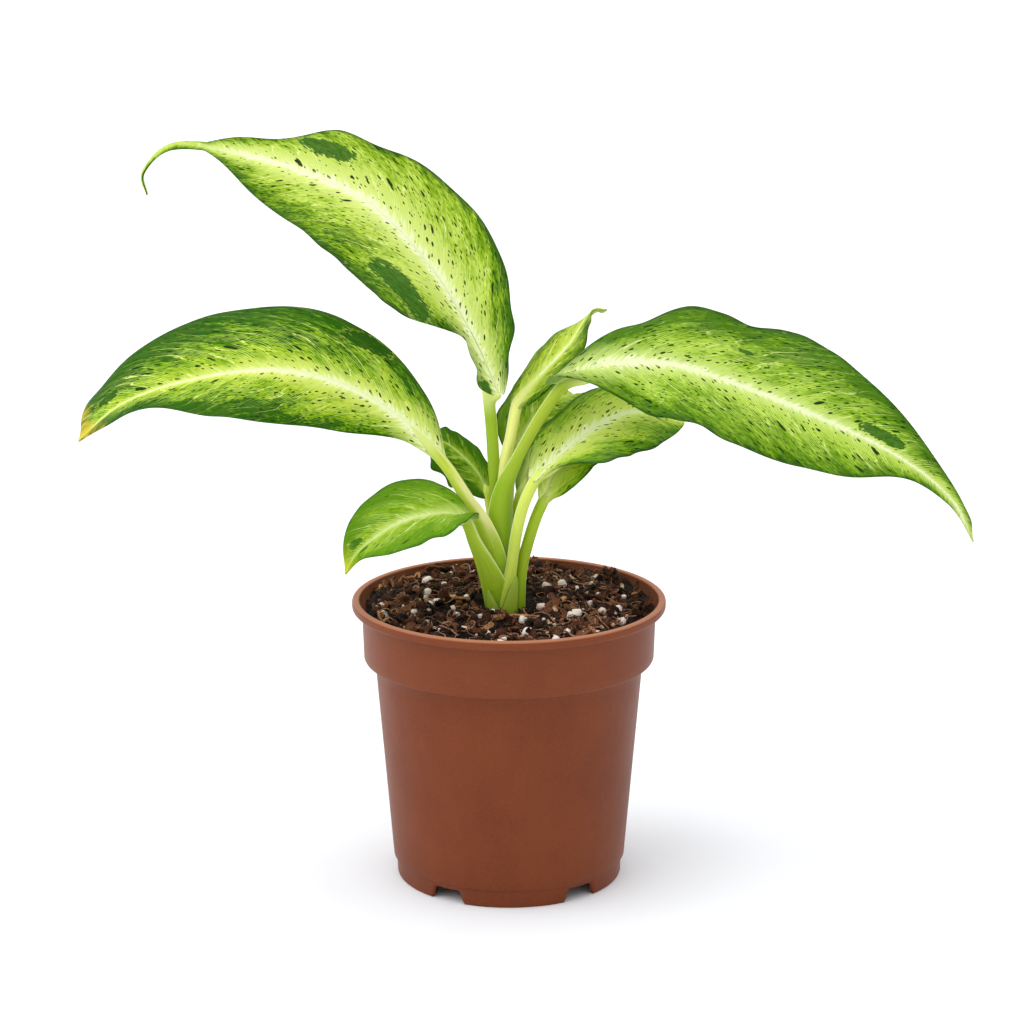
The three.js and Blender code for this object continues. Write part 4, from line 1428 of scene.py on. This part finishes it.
def low_left_leaf() -> Leaf:
    """Describe the small leaf that hangs at the lower left."""
    blade = LeafBlade(
        "low_left",
        rib=[(-16, -12, 144), (-26, -17, 147), (-41, -23, 145), (-55, -27, 136), (-61, -28, 127)],
        heading=190, widths=(22.5, 20.5), base=(1, 1), tip=(1.4, 1.4),
        roll=[-8, -15, -21, -24, -26, -28, -30], fold=[62, 28, 22, 20, 23, 29, 32],
        curl=[15, 16, 19, 20, 19, 16, 15], wave=0.5, lobe=5,
        face=LeafFace(
            "low_left", cream_width=0.8, margin_from=0.42, margin_strength=0.6, speckled=0.2,
            base_cream=1.4, lean=0.06, yellow_tip=0.16, yellow="c9ca2e",
            blotches=(Blotch(Side.RIGHT, 0.8, 3.4, 6, 2.8), Blotch(Side.LEFT, 0.79, 2.6, 4, 2.0)),
            patch="44761c", rim="3a6c14", core="e6f0b0", cream="c8dc7c", thread="b8d070", pale="acc848",
            lime="94b42a", leaf="74a010", deep="467a06",
        ),
        swells=(
            *swells(Side.RIGHT, (0.18, 0.1, 2.4), (0.74, 0.16, 1.4)),
            *swells(Side.LEFT, (0.22, 0.06, 2.6), (0.4, 0.08, -2.6), (0.65, 0.1, 1.3), (0.85, 0.06, -1.2)),
        ),
        shoulder=(1.6, 0.0), lobe_shares=(0.8, 0.3), rows=100,
    )
    stalk = LeafStalk(
        "low_left",
        route_points=[
            (-4.6, -6.2, 98), (-6.8, -7.8, 113), (-9.8, -9.8, 126), (-13, -10.8, 135),
            (-16, -11.8, 143.2),
        ],
        facing=235, wide=6.3, thick=1.5, until=0.95,
        skin=StalkSkin("low_left", top="aecb34", foot="88b016", edge="e6f0b4", rimmed=0.55),
        top_radius=2.4,
    )
    return Leaf(blade, stalk)


def mid_right_leaf() -> Leaf:
    """Describe the broad small leaf on the right, above the rim."""
    blade = LeafBlade(
        "mid_right", rib=[(11, -6, 159), (22, -2, 168), (35, 4, 177), (50, 10, 180), (67, 16, 175)],
        heading=5, widths=(24, 26), base=(0.9, 1), tip=(1, 0.85), roll=[22, 24, 22], fold=[32, 10, 14],
        curl=[15, 30, 25], wave=1.2, phase=(0.1, 0.85), lobe=3,
        face=LeafFace(
            "mid_right", cream_width=2.4, margin_from=0.8, margin_strength=0.85, speckled=1.1, lean=0.02,
            base_cream=1.3, lime="98bc1e", leaf="6c9a14", deep="3c720a",
        ),
        swells=swells(Side.RIGHT, (0.25, 0.08, 8.4), (0.51, 0.1, -3.6), (0.86, 0.14, -1.0)), rows=120,
    )
    stalk = LeafStalk(
        "mid_right",
        route_points=[
            (-1.8, -8, 98), (-1.2, -8.4, 111), (0.8, -8, 123), (2.6, -7.8, 136), (4.8, -7.3, 146),
            (7.6, -6.8, 153.4), (10.6, -6.2, 158.6),
        ],
        facing=-70, wide=4, thick=1.6, until=0.45,
        skin=StalkSkin("mid_right", top="dbea66", foot="b6d036", shade="a0c030", edge="f0f3c4"),
    )
    return Leaf(blade, stalk)


def leaves() -> list[Leaf]:
    """List the plant's ten leaves, in the order that they are made."""
    return [
        centre_leaf(), right_leaf(), upper_left_leaf(), back_leaf(), back_left_leaf(), back_right_leaf(),
        left_leaf(), low_right_leaf(), low_left_leaf(), mid_right_leaf(),
    ]


# Stem foot


@dataclass(frozen=True)
class ScaleLeaf:
    """A small pointed leaf that clasps the foot of the stem.

    The foot is the middle of its lower edge, half is half its greatest width, and lean is how far its tip
    stands to the side, as a share of the height.
    """

    name: str
    foot: Triple
    height: float
    half: float
    lean: float
    rows: int = 40
    around: int = 32

    def build(self, material: Material) -> Piece:
        """Make the scale leaf from its finish."""
        t = np.linspace(0, 1, self.rows)[:, None] * np.ones(self.around)
        angle = np.linspace(0, 2 * np.pi, self.around, endpoint=False)[None, :] * np.ones((self.rows, 1))
        width = self.half * (1 - t) ** 0.8 * (0.8 + 0.7 * t) + 0.12
        across = np.cos(angle)
        bow = np.sin(np.pi * t * 0.6)
        thick = 0.42 * np.sin(angle) * (1 - 0.5 * across ** 4)
        points = np.stack([
            self.foot[0] + self.lean * t * self.height + width * across,
            self.foot[1] - bow + thick + 0.16 * width * across ** 2,
            self.foot[2] + t * self.height,
        ], -1)
        flat = np.zeros_like(t)
        draft = Draft()
        draft.add(points, tube_faces(self.rows, self.around), 0, {
            "stalk_place": np.stack([0.4 * t, across, flat], -1),
            "stalk_run": np.stack([width * across, t * self.height, flat], -1),
        })
        return draft.piece(self.name, [material])


@dataclass
class StemFoot:
    """The short cane that the sheaths wrap, and the small scale leaves at its foot."""

    middle: Pair = (-1.2, -2.2)
    radius: float = 4.4
    crown: float = 5.6
    bottom: float = 62.0
    top: float = 116.0
    ring_gap: float = 9.0
    girth: float = 4.0
    rows: int = 60
    around: int = 40
    scale: ScaleLeaf = ScaleLeaf("scale_leaf_skin", (-4.4, -10.4, 102), 14.0, 3.6, -0.25)
    front_scale: ScaleLeaf = ScaleLeaf("front_scale_leaf", (-1.3, -12.6, 101), 21.0, 4.2, 0.2)

    def build(self) -> None:
        """Make and seat the cane and the scale leaves."""
        skin = StalkSkin("stem", top="a9c53a", foot="96ae38", shade="7f9f2a")
        seat(self.cane(skin.make()), ("cane",))
        # The dark edge colour paints shade along both edges of the scale leaves.
        skin = StalkSkin("scale", top="a4ba48", foot="92ac34", shade="82992c", edge="56761a", rimmed=0.8,
                         rim_from=0.82)
        material = skin.make()
        seat(self.scale.build(material), ("scale_leaf",))
        seat(self.front_scale.build(material))

    def cane(self, material: Material) -> Piece:
        """Make the cane, with its faint rings, from its finish."""
        z = np.linspace(self.bottom, self.top, self.rows)
        swell = self.crown + (self.radius - self.crown) * smooth(z, self.bottom + 14, self.bottom + 30)
        close = np.sqrt(np.clip(np.minimum((z - self.bottom) / 4, (self.top - z) / 4), 0.0004, 1))
        ring = 0.25 * np.cos(2 * np.pi * z / self.ring_gap) ** 8
        angle = np.linspace(0, 2 * np.pi, self.around, endpoint=False)
        level = np.ones(self.around)
        radius = (swell * close - ring)[:, None] * level
        points = np.stack([
            self.middle[0] + radius * np.cos(angle), self.middle[1] + radius * np.sin(angle),
            z[:, None] * level,
        ], -1)
        length = self.top - self.bottom
        t = ((z - self.bottom) / length)[:, None] * level
        flat = np.zeros_like(t)
        draft = Draft()
        draft.add(points, tube_faces(self.rows, self.around), 0, {
            "stalk_place": np.stack([t, flat, flat], -1),
            "stalk_run": np.stack([
                self.girth * np.cos(angle) + flat, length * t, self.girth * np.sin(angle) + flat,
            ], -1),
        })
        return draft.piece("cane_skin", [material])


# Soil


@dataclass
class SoilBed:
    """Lumpy bed of peat with its loose bark, shreds, fibres and perlite.

    The bed rises a little towards the back, in its middle and in a heap. Nothing loose lies nearer to the
    stem than `bare`, and each kind stays within its own ring.
    """

    edge_height: float = 106.0
    radius: float = 55.4
    bottom: float = 86.0
    back_rise: float = 1.9
    back_reach: float = 54.0
    mound: float = 1.6
    heap: float = 1.6
    heap_place: Pair = (3.0, 24.0)
    heap_spread: float = 130.0
    roughness: float = 2.8
    lump_sizes: Triple = (11.0, 5.5, 2.1)
    perlite: int = 130
    bark: int = 46
    shreds: int = 230
    slivers: int = 110
    wall_shreds: int = 46
    wall_bark: int = 26
    fibres: int = 400
    crumbs: int = 380
    bare: float = 12.0
    grain_ring: float = 50.0
    chip_ring: float = 49.0
    wall_ring: float = 52.5
    fibre_ring: float = 47.0
    fibre_limit: float = 51.0

    def __post_init__(self) -> None:
        """Start the bed's noise and its draws."""
        self.noise = Rumple(SEED)
        self.random = np.random.default_rng(SEED + 1)

    def height(self, x: Array, y: Array) -> Array:
        """Give the bed's height at places, in millimetres."""
        reach = np.clip(np.hypot(x, y) / self.radius, 0, 1)
        mound = self.mound * np.cos(0.5 * np.pi * reach) ** 1.5
        heap_x, heap_y = self.heap_place
        heap = self.heap * np.exp(-((x - heap_x) ** 2 + (y - heap_y) ** 2) / self.heap_spread)
        return self.edge_height + self.back_rise * y / self.back_reach + mound + heap + self.lumps(x, y)

    def lumps(self, x: Array, y: Array) -> Array:
        """Give how far the bed's lumps stand over its mean height."""
        large, medium, small = self.lump_sizes
        broad = self.noise.rough(x / large, y / large, 0.3, 3)
        ridges = 1 - np.abs(self.noise.rough(x / medium + 9, y / medium, 2.7, 3)) * 2.2
        fine = self.noise.rough(x / small, y / small, 5.1, 3)
        return self.roughness * (0.6 * broad + 0.6 * ridges - 0.3) + 0.9 * fine

    def build(self) -> None:
        """Make and seat the bed and what lies in it."""
        seat(self.bed(PottingSoil().make()), ("soil",))
        dark = Fragment("peat_crumb", "070301", "5a3220", 2.2).make()
        white = Fragment("perlite", "ecd2c4", "fff4ee", 1.3, 0.6).make()
        bark = Fragment("pine_bark", "3c1c0c", "cf9562", 1.6).make()
        shred = Fragment("peat_shred", "070301", "835235", 2.0).make()
        tan = Fragment("wood_sliver", "9c6238", "f0cda2", 1.6).make()
        fibre = Fragment("coir_fibre", "4a2a18", "c09070", 1.0).make()
        litter = [
            self.grains("soil_crumbs", self.crumbs, (0.7, 2.4), dark, lift=0.15, blockiness=0.0),
            self.grains("perlite_grains", self.perlite, (0.45, 1.95), white, lift=0.6, blockiness=0.95),
            self.chips("bark_chips", self.bark, (3.0, 8.0), bark, tilt=0.5),
            self.chips("peat_shreds", self.shreds, (3.0, 8.0), shred, tilt=1.0),
            self.chips("wood_slivers", self.slivers, (1.4, 3.6), tan, tilt=0.6),
            self.chips("wall_shreds", self.wall_shreds, (4.0, 7.5), shred, tilt=1.2, arc=(-20, 135)),
            self.chips("wall_bark", self.wall_bark, (3.0, 5.5), bark, tilt=1.2, arc=(135, 215)),
            self.threads(fibre),
        ]
        for piece in litter:
            seat(piece)

    def bed(self, material: Material) -> Piece:
        """Make the bed as a closed body with a rough top.

        Args:
            material: its finish.
        Returns:
            The bed's object.
        """
        around, rings = 300, 110
        angle = np.linspace(0, 2 * np.pi, around, endpoint=False)
        radius = self.radius * np.linspace(0.012, 1, rings)
        x, y = radius[:, None] * np.cos(angle), radius[:, None] * np.sin(angle)
        top = np.stack([x, y, self.height(x, y)], -1)
        foot = ((self.radius - 1.4, self.bottom + 4), (self.radius - 6.4, self.bottom - 4))
        wall = [np.stack([r * np.cos(angle), r * np.sin(angle), np.full(around, z)], -1) for r, z in foot]
        points = np.concatenate([top, wall])
        # The tint mark holds the lump height, which the soil's material turns into painted shade in the
        # hollows.
        raised = np.concatenate([0.5 + self.lumps(x, y) / 5, np.zeros((len(foot), around))])
        draft = Draft()
        draft.add(points, tube_faces(len(points), around), 0, {"tint": np.stack([raised] * 3, -1)})
        return draft.piece("soil_bed", [material])

    def spot(self, outermost: float) -> Pair:
        """Draw a place on the bed, clear of the stem."""
        angle = 2 * math.pi * self.random.random()
        radius = self.bare + (outermost - self.bare) * math.sqrt(self.random.random())
        return radius * math.cos(angle), radius * math.sin(angle)

    def tint(self, count: int) -> Array:
        """Draw one shade, from 0 to 1, for all the points of a fragment."""
        return np.ones((count, 3)) * self.random.random(3)

    def turned(self, points: Array, tilt: float) -> Array:
        """Turn points by random angles, up to `tilt` radians off the level."""
        spin, lean, roll = self.random.random() * 2 * math.pi, *(tilt * (2 * self.random.random(2) - 1))
        for (a, b), angle in (((1, 2), lean), ((0, 2), roll), ((0, 1), spin)):
            c, s = math.cos(angle), math.sin(angle)
            first, second = points[:, a].copy(), points[:, b].copy()
            points[:, a], points[:, b] = c * first - s * second, s * first + c * second
        return points

    def on_bed(self, points: Array, x: float, y: float, lift: float) -> Array:
        """Move points to a place on the bed, lifted by so much."""
        return points + np.array([x, y, float(self.height(np.array(x), np.array(y))) + lift])

    def grains(self, name: str, count: int, sizes: Pair, material: Material, lift: float,
               blockiness: float) -> Piece:
        """Scatter rounded, dented grains.

        Args:
            name: the piece's name.
            count: number of grains.
            sizes: smallest and largest radius in millimetres.
            material: their finish.
            lift: share of its radius that a grain's middle stands over the bed.
            blockiness: how far a grain is pressed towards a block, 0 to 1.
        Returns:
            The grains' object.
        """
        draft = Draft()
        rows, around = 7, 10
        polar = np.linspace(0.06, np.pi - 0.06, rows)[:, None] * np.ones(around)
        angle = np.linspace(0, 2 * np.pi, around, endpoint=False)[None, :] * np.ones((rows, 1))
        ball = np.stack([np.sin(polar) * np.cos(angle), np.sin(polar) * np.sin(angle), np.cos(polar)], -1)
        ball = np.sign(ball) * np.abs(ball) ** (1 - 0.45 * blockiness)
        east, north, up = (ball[..., axis] * 1.5 for axis in range(3))
        for k in range(count):
            x, y = self.spot(self.grain_ring)
            size = sizes[0] + (sizes[1] - sizes[0]) * self.random.random() ** 2
            dent = 1 + (0.34 - 0.16 * blockiness) * self.noise.at(east + 3 * k, north, up)
            squash = 0.7 + 0.5 * self.random.random(3)
            points = self.turned((ball * dent[..., None] * squash * size).reshape(-1, 3), math.pi)
            points = self.on_bed(points, x, y, lift * size)
            draft.add(points, tube_faces(rows, around), 0, {"tint": self.tint(len(points))})
        return draft.piece(name, [material])

    def chips(self, name: str, count: int, lengths: Pair, material: Material, tilt: float,
              arc: Pair | None = None) -> Piece:
        """Scatter torn flakes with ragged ends.

        Args:
            name: the piece's name.
            count: number of flakes.
            lengths: shortest and longest flake in millimetres.
            material: their finish.
            tilt: how far they stand off the level, in radians.
            arc: first and last angle in degrees, for flakes that stand along the pot's wall.
        Returns:
            The flakes' object.
        """
        draft = Draft()
        columns, lines = 9, 5
        ring = self.wall_ring if arc else self.chip_ring
        u = np.linspace(-1, 1, columns)[:, None] * np.ones(lines)
        v = np.linspace(-1, 1, lines)[None, :] * np.ones((columns, 1))
        faces = self.slab_faces(columns, lines)
        for k in range(count):
            x, y = self.spot(ring)
            if arc:
                angle = math.radians(arc[0] + (arc[1] - arc[0]) * self.random.random())
                reach = ring - 4 * self.random.random() ** 2
                x, y = reach * math.cos(angle), reach * math.sin(angle)
            length = lengths[0] + (lengths[1] - lengths[0]) * self.random.random()
            breadth = length * (0.28 + 0.25 * self.random.random())
            thickness = 0.5 + 0.7 * self.random.random()
            torn = 1 + 0.3 * self.noise.at(u * 0.4 + 5 * k, v * 2.6, 4.2)
            narrowed = 1 - 0.35 * np.abs(u) ** 3 + 0.25 * self.noise.at(u * 2.4 + 3 * k, v, 1.1)
            bend = 0.12 * length * (u ** 2) * (2 * self.random.random() - 1)
            skins = []
            for face in (1, -1):
                rough = 0.3 * self.noise.at(u * 3 + 2 * k, v * 3, 2.0 * face)
                height = bend + face * thickness / 2 + rough
                skins.append(np.stack([u * torn * length / 2, v * narrowed * breadth / 2, height], -1))
            points = self.turned(np.concatenate(skins).reshape(-1, 3), tilt)
            points = self.on_bed(points, x, y, 0.3 + 0.12 * length * tilt)
            draft.add(points, faces, 0, {"tint": self.tint(len(points))})
        return draft.piece(name, [material], is_round=False)

    @staticmethod
    def slab_faces(rows: int, columns: int) -> Faces:
        """List the faces of a thin slab: its upper grid, its lower grid and the rim between them.

        Args:
            rows: rows of points in each grid.
            columns: points in each row.
        Returns:
            Corner numbers of each face.
        """
        size = rows * columns
        upper = [face[::-1] for face in grid_faces(rows, columns)]
        lower = [tuple(i + size for i in face[::-1]) for face in upper]
        rim = list(range(columns)) + [i * columns + columns - 1 for i in range(1, rows)]
        rim += [(rows - 1) * columns + i for i in range(columns - 2, -1, -1)]
        rim += [i * columns for i in range(rows - 2, 0, -1)]
        sides = [(a, b, b + size, a + size) for a, b in zip(rim, rim[1:] + rim[:1])]
        return upper + lower + sides

    def threads(self, material: Material) -> Piece:
        """Lay curly fibres over the bed.

        Args:
            material: their finish.
        Returns:
            The fibres' object.
        """
        draft = Draft()
        steps, around = 22, 5
        angle = np.linspace(0, 2 * np.pi, around, endpoint=False)
        for _ in range(self.fibres):
            x, y = self.spot(self.fibre_ring)
            heading, turn = self.random.random() * 2 * math.pi, 0.9 * (self.random.random() - 0.5)
            pace, radius = 0.35 + 0.55 * self.random.random(), 0.1 + 0.16 * self.random.random()
            line = []
            for _ in range(steps):
                heading += turn + 0.5 * (self.random.random() - 0.5)
                x, y = x + pace * math.cos(heading), y + pace * math.sin(heading)
                if math.hypot(x, y) > self.fibre_limit:
                    x, y = x * 0.97, y * 0.97
                line.append((x, y))
            track = np.array(line)
            z = self.height(track[:, 0], track[:, 1])
            even = np.convolve(np.pad(z, 2, "edge"), np.ones(5) / 5, "valid")
            arch = 0.3 + (0.4 + 1.6 * self.random.random()) * np.sin(np.linspace(0, np.pi, steps)) ** 0.8
            track = np.column_stack([track, even + arch])
            forward = unit(np.gradient(track, axis=0))
            side = unit(np.cross(forward, [0.0, 0.0, 1.0]))
            above = np.cross(side, forward)
            thin = (radius * np.sin(np.linspace(0.25, np.pi - 0.25, steps)) ** 0.5)[:, None, None]
            points = (track[:, None] + thin * (side[:, None] * np.cos(angle)[None, :, None]
                                               + above[:, None] * np.sin(angle)[None, :, None]))
            draft.add(points, tube_faces(steps, around), 0, {"tint": self.tint(points.size // 3)})
        return draft.piece("coir_fibres", [material])


# Pot


@dataclass
class NurseryPot:
    """Moulded pot: rolled rim bead, deep collar, tapering body and a ring of five low feet."""

    height: float = 110.0
    rim_radius: float = 60.0
    rim_inner: float = 57.2
    rim_round: float = 1.1
    lip_round: float = 0.7
    bead_depth: float = 3.6
    collar_top: float = 56.2
    collar_bottom: float = 55.6
    collar_height: float = 23.2
    body_top: float = 51.4
    body_bottom: float = 44.8
    foot_radius: float = 43.4
    foot_height: float = 7.0
    wall: float = 1.4
    floor_under: float = 6.5
    floor_thickness: float = 1.5
    pad_radius: float = 9.0
    feet: int = 5
    first_gap: float = -51.0
    gap_half: float = 6.5
    gap_height: float = 5.0
    drain_holes: int = 10
    drain_ring: float = 30.0
    drain_radius: float = 3.5
    around: int = 360

    def profile(self) -> Curve:
        """List the pot's outline from the middle of its underside, round the rim, to its floor."""
        collar_foot = self.height - self.collar_height
        bead_foot = self.height - self.bead_depth
        floor_top = self.floor_under + self.floor_thickness
        pad, foot, foot_top = self.pad_radius, self.foot_radius, self.foot_height
        outline: Curve = [
            (0.01, 0), (pad - 0.4, 0), (pad, 0.3), (pad + 0.7, self.floor_under - 0.5),
            (pad + 1.4, self.floor_under), (foot - 2.8, self.floor_under),
            (foot - 2.1, self.floor_under - 0.6), (foot - 1.8, 0.35), (foot - 1.5, 0), (foot - 0.7, 0),
            (foot - 0.2, 0.25), (foot, 0.8),
            (foot + 0.25, foot_top - 0.5), (foot + 0.45, foot_top - 0.05),
            (self.body_bottom - 0.3, foot_top + 0.25), (self.body_bottom, foot_top + 0.8),
        ]
        outline += self.straight(outline[-1], (self.body_top, collar_foot - 0.9), 16)
        outline += [
            (self.body_top + 0.12, collar_foot - 0.75), (self.body_top + 0.5, collar_foot - 0.6),
            (self.collar_bottom - 0.9, collar_foot - 0.25), (self.collar_bottom - 0.3, collar_foot),
            (self.collar_bottom, collar_foot + 0.6),
        ]
        outline += self.straight(outline[-1], (self.collar_top, bead_foot - 0.5), 6)
        outline += [(self.collar_top + 0.1, bead_foot - 0.25), (self.collar_top + 0.5, bead_foot - 0.05)]
        rim, lip = self.rim_round, self.lip_round
        outline.append((self.rim_radius - rim, bead_foot + 0.1))
        outline += self.bend((self.rim_radius - rim, bead_foot + rim), rim, -90, 0)
        outline += self.bend((self.rim_radius - rim, self.height - rim), rim, 0, 90)
        outline += self.bend((self.rim_inner + lip, self.height - lip), lip, 90, 180)
        inner = [
            (self.collar_top - self.wall, bead_foot - 1.2),
            (self.collar_bottom - self.wall, collar_foot + 1.6),
            (self.body_top - self.wall, collar_foot), (self.body_bottom - self.wall, floor_top + 1),
        ]
        outline += self.straight((self.rim_inner, self.height - 1.2), inner[0], 4)[1:]
        outline += inner
        outline += [(self.body_bottom - self.wall - 1, floor_top), (0.01, floor_top)]
        return outline

    @staticmethod
    def straight(start: Pair, end: Pair, steps: int) -> Curve:
        """List the points after `start` on the way to `end`."""
        return [(start[0] + (end[0] - start[0]) * k / steps, start[1] + (end[1] - start[1]) * k / steps)
                for k in range(1, steps + 1)]

    @staticmethod
    def bend(middle: Pair, radius: float, first: float, last: float) -> Curve:
        """List seven points of an arc."""
        turns = [math.radians(first + (last - first) * k / 6) for k in range(7)]
        return [(middle[0] + radius * math.cos(a), middle[1] + radius * math.sin(a)) for a in turns]

    def notch(self, angle: Array) -> Array:
        """Give how open the foot ring is at each angle, 0 on a foot and 1 in a gap."""
        spacing = 2 * np.pi / self.feet
        away = (angle - math.radians(self.first_gap) + spacing / 2) % spacing - spacing / 2
        return 1 - smooth(np.abs(away) * self.foot_radius, self.gap_half - 0.9, self.gap_half + 0.9)

    def build(self) -> None:
        """Make and seat the pot."""
        profile = np.array(self.profile())
        angle = np.linspace(0, 2 * np.pi, self.around, endpoint=False)
        radius = profile[:, 0][:, None] * np.ones(self.around)
        z = profile[:, 1][:, None] * np.ones(self.around)
        is_foot = (radius > self.foot_radius - 2.5) & (z < 1.0)
        z = np.where(is_foot, z + self.gap_height * self.notch(angle)[None, :], z)
        warp = 1 + 0.0009 * np.sin(2 * angle + 0.6)[None, :] * (z / self.height)
        points = np.stack([radius * warp * np.cos(angle), radius * warp * np.sin(angle), z], -1)
        draft = Draft()
        draft.add(points, tube_faces(len(profile), self.around))
        pot = draft.piece("nursery_pot", [PotPlastic().make()])
        self.drill(pot)
        seat(pot, ("pot",))

    def drill(self, pot: Piece) -> None:
        """Cut the ring of drain holes through the floor.

        Args:
            pot: the pot's object, whose mesh is replaced by the cut one.
        """
        cutters = Draft()
        sides, below, above = 32, 2, 3.5
        turn = np.linspace(0, 2 * np.pi, sides, endpoint=False)
        for k in range(self.drain_holes):
            middle = 2 * math.pi * (k + 0.5) / self.drain_holes
            x = self.drain_ring * math.cos(middle) + self.drain_radius * np.cos(turn)
            y = self.drain_ring * math.sin(middle) + self.drain_radius * np.sin(turn)
            heights = (self.floor_under - below, self.floor_under + above)
            rings = [np.stack([x, y, np.full(sides, z)], -1) for z in heights]
            cutters.add(np.concatenate(rings), tube_faces(2, sides))
        cutter = cutters.piece("drain_cutters", [])
        cut = pot.modifiers.new("drains", "BOOLEAN")
        cut.operation, cut.solver, cut.object = "DIFFERENCE", "EXACT", cutter
        shaped = bpy.data.meshes.new_from_object(pot.evaluated_get(bpy.context.evaluated_depsgraph_get()))
        pot.modifiers.clear()
        pot.data = shaped
        bpy.data.objects.remove(cutter)


# Studio


@dataclass(frozen=True)
class Lamp:
    """A far, soft lamp: how wide its disc looks, and how high and where around the plant it hangs."""

    name: str
    strength: float
    spread: float
    down: float
    around: float

    def hang(self) -> None:
        """Put the lamp into the scene."""
        lamp = bpy.data.lights.new(self.name, "SUN")
        lamp.energy = self.strength
        lamp.angle = math.radians(self.spread)
        holder = bpy.data.objects.new(self.name, lamp)
        tilt, turn = math.radians(self.down), math.radians(self.around)
        level = math.cos(tilt)
        towards = Vector((level * math.cos(turn), level * math.sin(turn), math.sin(tilt)))
        holder.rotation_euler = towards.to_track_quat("Z", "Y").to_euler()
        holder.location = towards
        bpy.context.scene.collection.objects.link(holder)


@dataclass
class Studio:
    """White floor, soft light and the camera at the photograph's angle."""

    focal_pixels: float = 3262.0
    image_pixels: float = 1024.0
    sensor: float = 36.0
    camera_place: Triple = (1.16, -1200.0, 456.2)
    camera_down: float = 14.6
    floor_half: float = 12.0
    sky: float = 0.8
    lamps: tuple[Lamp, ...] = (
        Lamp("key", strength=0.85, spread=60.0, down=52.0, around=-155.0),
        Lamp("side", strength=0.4, spread=50.0, down=16.0, around=182.0),
        Lamp("top", strength=1.0, spread=90.0, down=82.0, around=60.0),
    )

    def build(self) -> None:
        """Make the floor, the lights and the camera."""
        self.floor()
        self.lights()
        self.camera()

    def floor(self) -> None:
        """Lay the floor."""
        half = self.floor_half / MM
        corners = [(-half, -half, 0), (half, -half, 0), (half, half, 0), (-half, half, 0)]
        draft = Draft()
        draft.add(np.array(corners), [(0, 1, 2, 3)])
        floor = draft.piece("studio_floor", [StudioWhite().make()])

    def lights(self) -> None:
        """Set the sky's even light and the soft lamps."""
        world = bpy.data.worlds.new("studio")
        bpy.context.scene.world = world
        world.use_nodes = True
        sky = world.node_tree.nodes["Background"]
        sky.inputs["Color"].default_value = (1.0, 1.0, 1.0, 1.0)
        sky.inputs["Strength"].default_value = self.sky
        for lamp in self.lamps:
            lamp.hang()

    def camera(self) -> None:
        """Place the camera and keep plain colours."""
        lens = bpy.data.cameras.new("camera")
        lens.sensor_width = self.sensor
        lens.lens = self.focal_pixels * self.sensor / self.image_pixels
        lens.clip_end = 100
        holder = bpy.data.objects.new("camera", lens)
        holder.location = Vector(self.camera_place) * MM
        holder.rotation_euler = (math.radians(90 - self.camera_down), 0, 0)
        bpy.context.scene.collection.objects.link(holder)
        bpy.context.scene.camera = holder
        bpy.context.scene.view_settings.view_transform = "Standard"


def main() -> None:
    """Build the plant, its pot and the studio, and report each piece."""
    logging.basicConfig(level=logging.INFO, format="%(name)s: %(message)s")
    Studio().build()
    NurseryPot().build()
    SoilBed().build()
    StemFoot().build()
    for leaf in leaves():
        leaf.build()


if __name__ == "__main__":
    main()
